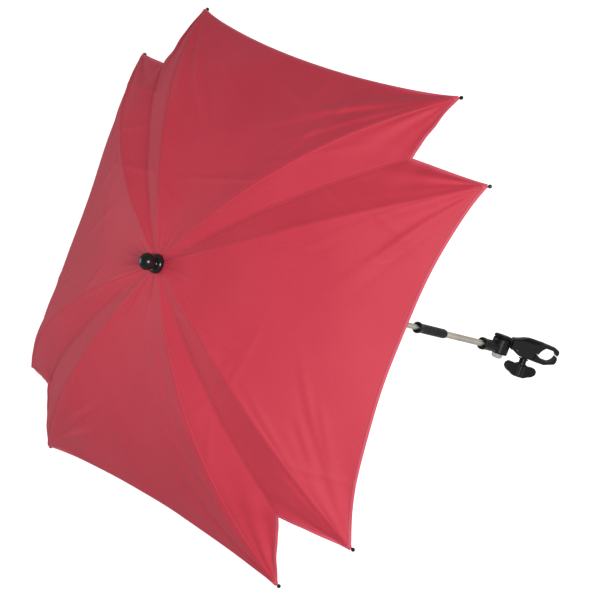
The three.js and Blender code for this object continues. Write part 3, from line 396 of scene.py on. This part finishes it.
def crease(x, y):
    """Folds of the cloth, in millimetres along Z, from the place in the whole canopy."""
    ring = np.hypot(x, y)
    turnround = np.arctan2(y, x)
    puckers = np.zeros_like(x)
    for k, (count, share) in enumerate(((18, 0.6), (31, 0.4), (47, 0.25))):
        puckers += share * np.sin(count * turnround + PHASES[k])
    near_hub = np.exp(-((ring - PUCKER_RING) / PUCKER_SPREAD) ** 2)
    puckers *= PUCKER_LIFT * near_hub * np.clip((ring - 8) / 10, 0, 1)
    waves = 0.9 * np.sin(x / 37 + PHASES[4]) * np.sin(y / 49 + PHASES[5])
    waves += 0.55 * np.sin(x / 21 + y / 29 + PHASES[6]) + 0.4 * np.sin(y / 15 - x / 33 + PHASES[7])
    waves *= np.clip(ring / 140, 0, 1) ** 1.5
    pull = np.zeros_like(x)
    for number, (angle, _) in enumerate(STATIONS):
        tip_x, tip_y = TIP_RADIUS * math.cos(angle), TIP_RADIUS * math.sin(angle)
        away = np.hypot(x - tip_x, y - tip_y)
        bearing = np.arctan2(y - tip_y, x - tip_x) - angle
        fan = np.sin(13 * bearing + PHASES[8 + number])
        fan += 0.7 * np.sin(22 * bearing + PHASES[16 + number])
        near_tip = np.exp(-((away - PULL_AWAY) / PULL_SPREAD) ** 2)
        pull += PULL_LIFT * fan * near_tip * np.clip(away / 30, 0, 1)
    return puckers + waves + pull + packed(x, y) + tension(x, y)


HEM, STITCH, ROLL = 5.2, 4.1, 0.9
RIB_LINE, SEAM_LINE = 1.9, 2.1
CLOTH, HEM_CLOTH = 0.5, 0.3
SEAM_STEPS = np.array([0, 0.5, 1.0, 1.5, 2.1, 2.9, 4.0, 5.5]) / 300
NARROW = np.concatenate([SEAM_STEPS * 5, np.linspace(0.12, 0.9, 18), 1 - SEAM_STEPS[5::-1] * 5])
WIDE = np.concatenate([SEAM_STEPS, np.linspace(0.03, 1, 58)])
RIB_COLUMN = len(NARROW) - 1


def panel_surface(angle, side):
    """The cloth of one eighth, from the corner seam over the rib to the wide gore's middle."""
    rows = np.concatenate([np.linspace(0, 0.93, 92), np.linspace(0.93, 1, 35)[1:]])
    parts = []
    for widths, is_wide in ((NARROW[::-1], False), (WIDE[1:], True)):
        a, w = np.meshgrid(rows, widths, indexing="ij")
        parts.append(np.stack(fabric_grid(a, w, is_wide), axis=-1))
    grid = np.concatenate(parts, axis=1)
    across = np.linalg.norm(grid - grid[:, RIB_COLUMN][:, None], axis=2)
    x, y = turn(grid[..., 0], side * grid[..., 1], angle)
    free = np.clip(across / 14, 0, 1)
    z = grid[..., 2] + crease(x, y) * free * free * (3 - 2 * free)
    from_seam = np.linalg.norm(grid - grid[:, 0][:, None], axis=2)
    return np.stack([x, y, z], axis=-1), across, from_seam


def grid_normals(grid):
    across = np.gradient(grid, axis=1)
    along = np.gradient(grid, axis=0)
    normal = np.cross(along, across)
    normal /= np.linalg.norm(normal, axis=-1, keepdims=True) + 1e-12
    normal[normal[..., 2] < 0] *= -1
    return normal


def edge_distance(grid):
    """How far each point lies from the free edge, along the cloth, in millimetres."""
    edge = grid[-1]
    flat = grid.reshape(-1, 3)
    best = np.full(len(flat), 1e9)
    for start, end in zip(edge[:-1], edge[1:]):
        line = end - start
        size = line @ line
        if size < 1e-9:
            continue
        share = np.clip(((flat - start) @ line) / size, 0, 1)
        best = np.minimum(best, np.linalg.norm(flat - start - share[:, None] * line, axis=1))
    return best.reshape(grid.shape[:2])


def line_profile(distance, lift, width, groove, place):
    """A sewn fold: a narrow ridge with a stitched groove beside it."""
    ridge = lift * np.exp(-(distance / width) ** 2)
    return ridge - groove * np.exp(-((distance - place) / (0.7 * width)) ** 2)


def make_panel(number, angle, side):
    grid, from_rib, from_seam = panel_surface(angle, side)
    normal = grid_normals(grid)
    away = edge_distance(grid)
    hem = 1 / (1 + np.exp(np.minimum((away - HEM) * 4.5, 60)))
    groove = np.exp(-((away - STITCH) / 0.75) ** 2)
    rolled = np.clip(1 - away / ROLL, 0, 1) ** 2
    lift = 0.5 * hem - 0.42 * groove - 0.45 * rolled
    lift += line_profile(from_rib, 0.32, 0.8, 0.16, 2.0)
    lift += line_profile(from_seam, 0.2, 0.9, 0.14, 2.2)
    top = grid + normal * lift[..., None]
    under = grid - normal * (CLOTH + HEM_CLOTH * hem - HEM_CLOTH * rolled)[..., None]
    nu, nv = grid.shape[:2]
    verts = np.concatenate([top.reshape(-1, 3), under.reshape(-1, 3)]) + (0, 0, TIP_HEIGHT)
    base = nu * nv
    i, j = np.meshgrid(np.arange(nu - 1), np.arange(nv - 1), indexing="ij")
    a = (i * nv + j).ravel()
    upper = np.stack([a, a + 1, a + nv + 1, a + nv], axis=1)
    faces = upper.tolist() + (base + upper[:, ::-1]).tolist()
    for j in (0, nv - 1):
        for i in range(nu - 1):
            a, b = i * nv + j, (i + 1) * nv + j
            faces.append((a, b, base + b, base + a))
    for i in (0, nu - 1):
        for j in range(nv - 1):
            a, b = i * nv + j, i * nv + j + 1
            faces.append((a, b, base + b, base + a))
    name = f"cover_{number}"
    obj = make(name, verts, faces, f"rib_{number}", FABRIC, node=f"canopy_panel_{number}")
    mesh = obj.data
    # Painted shade for the cloth: the seam lines beside the rib and the corner seam, the hem's
    # stitched groove and its rolled edge.
    seam = (np.exp(-((from_rib - RIB_LINE) / 0.7) ** 2)
            + np.exp(-((from_seam - SEAM_LINE) / 0.7) ** 2))
    # The hem band's lighter tone is partly its doubled cloth, partly painted highlight.
    for label, values in (("painted_shade", np.clip(groove + 0.15 * seam + 0.6 * rolled, 0, 1)),
                          ("hem_band_and_highlight", hem * (1 - rolled))):
        layer = mesh.attributes.new(label, "FLOAT", "POINT")
        layer.data.foreach_set("value", np.tile(values.ravel(), 2).astype(np.float32))
    steps_v = np.linalg.norm(np.diff(grid[:, RIB_COLUMN], axis=0), axis=1)
    steps_v = np.concatenate([[0], np.cumsum(steps_v)])
    across = np.concatenate([np.zeros((nu, 1)), np.cumsum(
        np.linalg.norm(np.diff(grid, axis=1), axis=2), axis=1)], axis=1)
    across -= across[:, RIB_COLUMN][:, None]
    uv = np.stack([across, np.repeat(steps_v[:, None], nv, axis=1)], axis=-1).reshape(-1, 2) * MM
    uv = np.concatenate([uv, uv])
    loops = np.empty(len(mesh.loops), dtype=np.int32)
    mesh.loops.foreach_get("vertex_index", loops)
    layer = mesh.uv_layers.new(name="cloth")
    layer.data.foreach_set("uv", uv[loops].ravel())
    thread = make_stitches(number, top, normal, away, from_rib, from_seam)
    return obj, grid, thread


STITCH_PITCH, STITCH_LENGTH, STITCH_WIDTH = 3.4, 2.5, 0.5


def cross_line(values, target, outward):
    """Where values reach target along one row or column, as a fractional index."""
    order = range(len(values) - 2, -1, -1) if outward else range(len(values) - 1)
    for i in order:
        a, b = values[i], values[i + 1]
        if (a - target) * (b - target) <= 0 and a != b:
            return i + (target - a) / (b - a)
    return None


def sewn_line(points, normals):
    """Stitches laid end to end along a line on the cloth."""
    steps = np.concatenate([[0], np.cumsum(np.linalg.norm(np.diff(points, axis=0), axis=1))])
    verts, faces = [], []
    for start in np.arange(STITCH_PITCH, steps[-1] - STITCH_PITCH, STITCH_PITCH):
        ends = [np.array([np.interp(start + d, steps, points[:, k]) for k in range(3)])
                for d in (0, STITCH_LENGTH)]
        up = np.array([np.interp(start, steps, normals[:, k]) for k in range(3)])
        along = (ends[1] - ends[0]) / (np.linalg.norm(ends[1] - ends[0]) + 1e-9)
        across = np.cross(up, along) * STITCH_WIDTH / 2
        base = len(verts)
        for place, size, lift in ((0, 0.35, 0.0), (0.2, 1, 0.2), (0.8, 1, 0.2), (1, 0.35, 0.0)):
            middle = ends[0] + (ends[1] - ends[0]) * place + up * lift
            verts += [middle - across * size, middle + up * 0.16 * size, middle + across * size,
                      middle - up * 0.3]
        for k in range(3):
            a = base + 4 * k
            for m in range(4):
                faces.append((a + m, a + (m + 1) % 4, a + 4 + (m + 1) % 4, a + 4 + m))
        faces.append((base + 3, base + 2, base + 1, base))
        faces.append((base + 12, base + 13, base + 14, base + 15))
    return verts, faces


def make_stitches(number, top, normal, away, from_rib, from_seam):
    """The hem's line of stitches and the ones beside the rib's and the corner's seams."""
    lines = []
    hem = [(cross_line(away[:, j], STITCH, True), j) for j in range(away.shape[1])]
    hem = [(i, j) for i, j in hem if i is not None and i > away.shape[0] * 0.5]
    lines.append(hem)
    first = int(0.16 * len(from_rib))
    last = hem[RIB_COLUMN][0] if len(hem) > RIB_COLUMN else len(from_rib) - 12
    for field, target, left, right in (
            (from_rib, RIB_LINE, RIB_COLUMN, from_rib.shape[1] - 1),
            (from_seam, SEAM_LINE, 0, RIB_COLUMN)):
        line = []
        for i in range(first, int(last)):
            j = cross_line(field[i, left:right], target, False)
            if j is not None:
                line.append((i, left + j))
        lines.append(line)

    def sample(field, i, j):
        i0, j0 = min(int(i), field.shape[0] - 2), min(int(j), field.shape[1] - 2)
        s, t = i - i0, j - j0
        return ((1 - s) * ((1 - t) * field[i0, j0] + t * field[i0, j0 + 1])
                + s * ((1 - t) * field[i0 + 1, j0] + t * field[i0 + 1, j0 + 1]))

    verts, faces = [], []
    for line in lines:
        if len(line) < 4:
            continue
        points = np.array([sample(top, i, j) for i, j in line])
        normals = np.array([sample(normal, i, j) for i, j in line])
        more, sides = sewn_line(points, normals)
        faces += [tuple(len(verts) + v for v in face) for face in sides]
        verts += more
    points = np.array(verts) + (0, 0, TIP_HEIGHT)
    return make(f"stitches_{number}", points, faces, f"rib_{number}", THREAD)


COVERS = []
for number, (angle, side) in enumerate(STATIONS, 1):
    COVERS.append(make_panel(number, angle, side))

for number, (obj, grid, thread) in enumerate(COVERS, 1):
    angle, side = STATIONS[number - 1]
    for piece in (obj, thread):
        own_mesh(piece)
    a, b = grid[1:, :-1] - grid[:-1, :-1], grid[:-1, 1:] - grid[:-1, :-1]


# ------------------------------------------------------------------ hard pieces
def rounded(corners, corner_radius, steps):
    """A closed outline with its corners turned into arcs."""
    points = [Vector(c) for c in corners]
    out = []
    count = len(points)
    for i, here in enumerate(points):
        a, b = points[i - 1] - here, points[(i + 1) % count] - here
        a_dir, b_dir = a.normalized(), b.normalized()
        half = 0.5 * math.acos(max(-1, min(1, a_dir.dot(b_dir))))
        if half > math.pi / 2 - 0.02 or half < 0.05:
            out.append(tuple(here))
            continue
        reach = min(corner_radius / math.tan(half), 0.48 * a.length, 0.48 * b.length)
        radius = reach * math.tan(half)
        centre = here + (a_dir + b_dir).normalized() * (radius / math.sin(half))
        start, end = here + a_dir * reach - centre, here + b_dir * reach - centre
        angle = start.angle_signed(end)
        for k in range(steps + 1):
            spun = start.copy()
            spun.rotate(Matrix.Rotation(-angle * k / steps, 2))
            out.append(tuple(centre + spun))
    return out


def lathe(name, profile, body, material, node, segments):
    """A profile of (radius, height) turned about the axis; points with radius 0 become poles."""
    verts, faces, rings = [], [], []
    for radius, height in profile:
        if radius < 1e-6:
            rings.append([len(verts)])
            verts.append((0, 0, height))
            continue
        start = len(verts)
        for k in range(segments):
            a = 2 * math.pi * k / segments
            verts.append((radius * math.cos(a), radius * math.sin(a), height))
        rings.append(list(range(start, start + segments)))
    for low, high in zip(rings[:-1], rings[1:]):
        if len(low) == 1 and len(high) == 1:
            continue
        for k in range(segments):
            m = (k + 1) % segments
            if len(low) == 1:
                faces.append((low[0], high[m], high[k]))
            elif len(high) == 1:
                faces.append((low[k], low[m], high[0]))
            else:
                faces.append((low[k], low[m], high[m], high[k]))
    return make(name, verts, faces, body, material, node=node)


def cylinder(radius, low, high, place=(0, 0), segments=40, stretch=1.0):
    """Points and faces of a closed cylinder along Z."""
    verts, faces = [], []
    for height in (low, high):
        for k in range(segments):
            a = 2 * math.pi * k / segments
            verts.append((place[0] + stretch * radius * math.cos(a),
                          place[1] + radius * math.sin(a), height))
    for k in range(segments):
        m = (k + 1) % segments
        faces.append((k, m, segments + m, segments + k))
    faces.append(tuple(range(segments - 1, -1, -1)))
    faces.append(tuple(range(segments, 2 * segments)))
    return verts, faces


def plate(corners, half):
    """An outline in the U-W plane drawn out to both sides along V."""
    count = len(corners)
    verts = [(u, v, w) for v in (-half, half) for u, w in corners]
    faces = [(k, (k + 1) % count, count + (k + 1) % count, count + k) for k in range(count)]
    faces += [tuple(range(count - 1, -1, -1)), tuple(range(count, 2 * count))]
    return verts, faces


def clamp_frame(points):
    """From the clamp's own u, v, w to the shaft's frame."""
    points = np.asarray(points, float)
    u, v, w = points[..., 0], points[..., 1], points[..., 2]
    c, s = math.cos(SWIVEL), math.sin(SWIVEL)
    return np.stack([w, c * v - s * u, -s * v - c * u], axis=-1)


def bare_object(name, verts, faces):
    mesh = bpy.data.meshes.new(name)
    mesh.from_pydata(((np.asarray(verts, float) + ORIGIN) * MM).tolist(), [], faces)
    work = bmesh.new()
    work.from_mesh(mesh)
    bmesh.ops.recalc_face_normals(work, faces=work.faces)
    work.to_mesh(mesh)
    work.free()
    obj = bpy.data.objects.new(name, mesh)
    bpy.context.scene.collection.objects.link(obj)
    return obj


def select_only(obj):
    """Makes obj the one selected and active object, as the operators need."""
    for each in bpy.context.selected_objects:
        each.select_set(False)
    bpy.context.view_layer.objects.active = obj
    obj.select_set(True)


def combine(obj, other, operation):
    """Adds the other mesh to obj, or cuts it away, and drops the other."""
    step = obj.modifiers.new("cut", "BOOLEAN")
    step.operation = operation
    step.solver = "EXACT"
    step.object = other
    select_only(obj)
    bpy.ops.object.modifier_apply(modifier=step.name)
    mesh = other.data
    bpy.data.objects.remove(other)
    bpy.data.meshes.remove(mesh)


def run_round(obj, voxel, passes):
    """The solid's edges run round, as a moulding has them."""
    bpy.context.view_layer.update()
    select_only(obj)
    obj.data.remesh_voxel_size = voxel * MM
    bpy.ops.object.voxel_remesh()
    work = bmesh.new()
    work.from_mesh(obj.data)
    for _ in range(passes):
        bmesh.ops.smooth_vert(work, verts=work.verts, factor=0.5, use_axis_x=True,
                              use_axis_y=True, use_axis_z=True)
    work.to_mesh(obj.data)
    work.free()
    obj.data.shade_smooth()


MOULDING_WELD, SURFACE_WELD, SURFACE_FOLD = 0.005 * MM, 0.01 * MM, math.radians(35)


def moulded(node, body, material, voxel, passes, cuts=()):
    """A node's own solid with its edges run round, and the cuts it lacks."""
    source = bpy.data.objects[node]
    obj = bpy.data.objects.new(f"{node}_moulding", source.data.copy())
    bpy.context.scene.collection.objects.link(obj)
    obj.data.materials.clear()
    obj.data.materials.append(material)
    work = bmesh.new()
    work.from_mesh(obj.data)
    bmesh.ops.remove_doubles(work, verts=work.verts, dist=MOULDING_WELD)
    work.to_mesh(obj.data)
    work.free()
    for count, (verts, faces) in enumerate(cuts):
        combine(obj, bare_object(f"cut_{count}", verts, faces), "DIFFERENCE")
    run_round(obj, voxel, passes)
    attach(obj, body)
    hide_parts(node)
    return obj


def smoothed(node, body, material):
    """A node's own solid with its facets shaded as the round faces they stand for."""
    source = bpy.data.objects[node]
    obj = bpy.data.objects.new(f"{node}_surface", source.data.copy())
    bpy.context.scene.collection.objects.link(obj)
    work = bmesh.new()
    work.from_mesh(obj.data)
    bmesh.ops.remove_doubles(work, verts=work.verts, dist=SURFACE_WELD)
    for face in work.faces:
        face.smooth = True
    for edge in work.edges:
        edge.smooth = len(edge.link_faces) == 2 and edge.calc_face_angle(0) < SURFACE_FOLD
    work.to_mesh(obj.data)
    work.free()
    obj.data.materials.clear()
    obj.data.materials.append(material)
    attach(obj, body)
    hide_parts(node)
    return obj


# The screw's end shows in an oval opening in the clamp's roof.
hole, hole_faces = cylinder(1.9, 24.0, 34.0, place=(42.5, 0), stretch=1.35)
moulded("clamp_body", "clamp", SHADED_SATIN, 0.5, 4, cuts=[(clamp_frame(hole), hole_faces)])
for node, body, material, voxel, passes in (
        ("lower_jaw", "jaw", SHADED_SATIN, 0.5, 4),
        ("socket", "socket", BLACK, 0.5, 3),
        ("push_button", "button", MILKY, 0.35, 4), ("lower_knuckle", "socket", BLACK, 0.3, 2),
        ("upper_knuckle", "mast", BLACK, 0.3, 2), ("crown", "mast", BLACK, 0.35, 2),
        ("runner", "runner", BLACK, 0.35, 2)):
    moulded(node, body, material, voxel, passes)
for node, body, material in (
        ("lower_tube", "socket", TUBE), ("upper_tube", "mast", TUBE),
        ("swivel_bolt", "clamp", BLACKED), ("thrust_washer", "washer", BLACKED),
        ("clamp_screw", "screw", BLACKED)):
    smoothed(node, body, material)

# The wing knob: two thick round lobes on a hub, flat below.
SCREW_U, KNOB_TOP, KNOB_TURN = 38.0, -10.8, math.radians(20)
half_lobe = [(5.4, 0.4), (9.0, -1.9), (15.0, -1.2), (20.5, -1.0), (25.0, -4.6), (25.0, -10.2),
             (20.5, -14.4), (13.5, -17.0), (8.0, -19.8)]
corners = half_lobe + [(-u, w) for u, w in reversed(half_lobe)]
shape, sides = plate(rounded(corners, 3.2, 6), 4.3)
spin = np.array([[math.cos(KNOB_TURN), -math.sin(KNOB_TURN), 0],
                 [math.sin(KNOB_TURN), math.cos(KNOB_TURN), 0], [0, 0, 1]])


def on_screw(points):
    """From the knob's own frame to the shaft's."""
    return clamp_frame(np.asarray(points, float) @ spin.T + (SCREW_U, 0, KNOB_TOP))


knob = bare_object("wing_grip", on_screw(shape), sides)
for radius, low, high in ((5.3, -19.9, 6.2), (6.9, -18.8, -2.6)):
    verts, faces = cylinder(radius, low, high)
    combine(knob, bare_object("hub", on_screw(verts), faces), "UNION")
verts, faces = cylinder(3.3, -14.9, 9.0)
combine(knob, bare_object("bore", on_screw(verts), faces), "DIFFERENCE")
knob.data.materials.append(BLACK)
run_round(knob, 0.45, 9)
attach(knob, "screw")
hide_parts("wing_knob")

# The ball cap: a round head on a domed collar.
BALL_RADIUS, BALL_CENTRE, COLLAR_RADIUS, COLLAR_HEIGHT, TUBE_FIT = 10.2, 16.2, 11.8, 7.4, 4.05
neck = BALL_RADIUS * 0.62
below = math.asin(neck / BALL_RADIUS)
cap = [(TUBE_FIT, 0.3), (COLLAR_RADIUS - 0.5, 0.3), (COLLAR_RADIUS - 0.1, 0.5),
       (COLLAR_RADIUS, 1.1)]
for step in range(1, 13):
    turn_up = math.radians(90 * step / 12)
    cap.append((neck + 0.8 + (COLLAR_RADIUS - neck - 0.8) * math.cos(turn_up),
                1.1 + (COLLAR_HEIGHT - 1.6) * math.sin(turn_up)))
cap += [(neck + 0.5, COLLAR_HEIGHT - 0.3), (neck + 0.1, COLLAR_HEIGHT + 0.6)]
for step in range(33):
    a = math.pi - below - (math.pi - below) * step / 32
    cap.append((BALL_RADIUS * math.sin(a) if step < 32 else 0,
                BALL_CENTRE + BALL_RADIUS * math.cos(a)))
cap += [(0, COLLAR_HEIGHT + 1), (TUBE_FIT, COLLAR_HEIGHT + 1), (TUBE_FIT, 0.3)]
lathe("ball_cap", [(r, z + TIP_HEIGHT + APEX_RISE) for r, z in cap], "mast", GLOSS,
      node="top_cap", segments=72)

# The sleeve: a ribbed grip with a flared lip.
PIN_HEIGHT, SLEEVE_COVER, SLEEVE_LENGTH = 142.0, 8.0, 64.0
SLEEVE_RADIUS, SLEEVE_FLARE, WIDE_BORE = 6.5, 8.0, 4.95
low = PIN_HEIGHT - SLEEVE_COVER
high = low + SLEEVE_LENGTH
guide = PIN_HEIGHT + 22
grip = [(WIDE_BORE, low), (SLEEVE_RADIUS - 1.1, low), (SLEEVE_RADIUS - 0.7, low + 0.25),
        (SLEEVE_RADIUS - 0.3, low + 1.5), (SLEEVE_RADIUS, low + 3.6), (SLEEVE_RADIUS, low + 5)]
RIDGES, PITCH, RIDGE_DEPTH = 15, 3.2, 0.45
for ridge in range(RIDGES):
    foot = low + 5 + ridge * PITCH
    grip += [(SLEEVE_RADIUS - RIDGE_DEPTH, foot + 0.35), (SLEEVE_RADIUS - RIDGE_DEPTH, foot + 0.9),
             (SLEEVE_RADIUS, foot + 1.3), (SLEEVE_RADIUS, foot + PITCH)]
grip += [(SLEEVE_RADIUS, high - 7), (SLEEVE_RADIUS + 0.5, high - 5.6),
         (SLEEVE_FLARE - 0.4, high - 4.3), (SLEEVE_FLARE - 0.1, high - 2.8),
         (SLEEVE_FLARE, high - 1.2), (SLEEVE_FLARE - 0.2, high - 0.4), (SLEEVE_FLARE - 0.7, high),
         (SLEEVE_FLARE - 1.5, high), (SLEEVE_FLARE - 1.9, high - 0.4), (TUBE_FIT + 0.5, high - 5),
         (TUBE_FIT, high - 6), (TUBE_FIT, guide), (WIDE_BORE, guide), (WIDE_BORE, low)]
lathe("ribbed_grip", grip, "sleeve", BLACK, node="sleeve", segments=64)

# ------------------------------------------------------------------ camera, floor and light
scene = bpy.context.scene
LENS, SENSOR, CLIP_END = 120, 36, 50
VIEW_ROWS = Matrix(((0.3446, -0.687, -0.6398), (-0.9334, -0.3232, -0.1557),
                    (-0.0998, 0.6508, -0.7526)))
EYE_FROM_TIPS = Vector((248.9, -1632.8, 1772.7))
turned = Matrix((VIEW_ROWS[0], -VIEW_ROWS[1], -VIEW_ROWS[2])).transposed()
spot = EYE_FROM_TIPS + Vector(ORIGIN) + Vector((0, 0, TIP_HEIGHT))
camera = bpy.data.objects.new("camera", bpy.data.cameras.new("camera"))
camera.data.lens = LENS
camera.data.sensor_width = SENSOR
camera.data.clip_end = CLIP_END
camera.matrix_world = Matrix.Translation(spot * MM) @ turned.to_4x4()
scene.collection.objects.link(camera)
scene.camera = camera

AMBIENT = 0.3
world = bpy.data.worlds.new("studio")
scene.world = world
world.use_nodes = True
tree = world.node_tree
back = tree.nodes["Background"]
back.inputs["Color"].default_value = (1, 1, 1, 1)
path = tree.nodes.new("ShaderNodeLightPath")
seen = math_node(tree, "MAXIMUM", path.outputs["Is Camera Ray"],
                 path.outputs["Is Transmission Ray"])
strength = math_node(tree, "ADD", math_node(tree, "MULTIPLY", seen, 1 - AMBIENT), AMBIENT)
tree.links.new(strength, back.inputs["Strength"])


def lamp(name, place, aim, size, power):
    data = bpy.data.lights.new(name, "AREA")
    data.shape = "DISK"
    data.size = size
    data.energy = power
    obj = bpy.data.objects.new(name, data)
    obj.location = place
    obj.rotation_euler = (Vector(aim) - Vector(place)).to_track_quat("-Z", "Y").to_euler()
    scene.collection.objects.link(obj)


AIM_HEIGHT, LAMP_AWAY = 0.55, 3.0
AIM = Vector(ORIGIN * MM) + Vector((0, 0, AIM_HEIGHT))
lamp("key", AIM + Vector((0.12, -0.86, 0.5)) * LAMP_AWAY, AIM, 1.3, 62)
lamp("fill", AIM + Vector((-0.25, 0.8, 0.55)) * LAMP_AWAY, AIM, 2.2, 30)


def floor_material():
    """Pale floor: white to the eye, with the shadow that falls on it; clear from below."""
    n = Nodes("studio_floor")
    n.shader.inputs["Base Color"].default_value = (0.9, 0.9, 0.9, 1)
    n.shader.inputs["Roughness"].default_value = 0.9
    n.shader.inputs["Specular IOR Level"].default_value = 0.0
    n.shader.inputs["Emission Color"].default_value = (1, 1, 1, 1)
    way = n.node("ShaderNodeLightPath")
    viewed = n.math("MAXIMUM", way.outputs["Is Camera Ray"], way.outputs["Is Transmission Ray"])
    n.link(n.math("MULTIPLY", viewed, FLOOR_GLOW), n.shader.inputs["Emission Strength"])
    clear = n.node("ShaderNodeBsdfTransparent")
    blend = n.node("ShaderNodeMixShader")
    place = n.node("ShaderNodeVectorMath", operation="LENGTH")
    n.link(n.node("ShaderNodeTexCoord").outputs["Object"], place.inputs[0])
    outside = n.ramp(place.outputs["Value"], FLOOR_NEAR, FLOOR_FAR)
    beneath = n.node("ShaderNodeNewGeometry").outputs["Backfacing"]
    n.link(n.math("MAXIMUM", beneath, outside), blend.inputs[0])
    n.link(n.shader.outputs[0], blend.inputs[1])
    n.link(clear.outputs[0], blend.inputs[2])
    n.link(blend.outputs[0], n.tree.nodes["Material Output"].inputs["Surface"])
    return n.material


FLOOR_GLOW = 0.62
FLOOR_NEAR, FLOOR_FAR = 1.1, 2.4
FLOOR_DROP = 0.55
FLOOR_HALF = 2.6
flat = bpy.data.meshes.new("floor")
flat.from_pydata([(x * FLOOR_HALF, y * FLOOR_HALF, 0)
                  for x, y in ((-1, -1), (1, -1), (1, 1), (-1, 1))], [], [(0, 1, 2, 3)])
flat.materials.append(floor_material())
floor = bpy.data.objects.new("floor", flat)
floor.location.z = CAD_BOX[0][2] - FLOOR_DROP
scene.collection.objects.link(floor)

bpy.context.view_layer.update()
scene.view_settings.view_transform = "Standard"
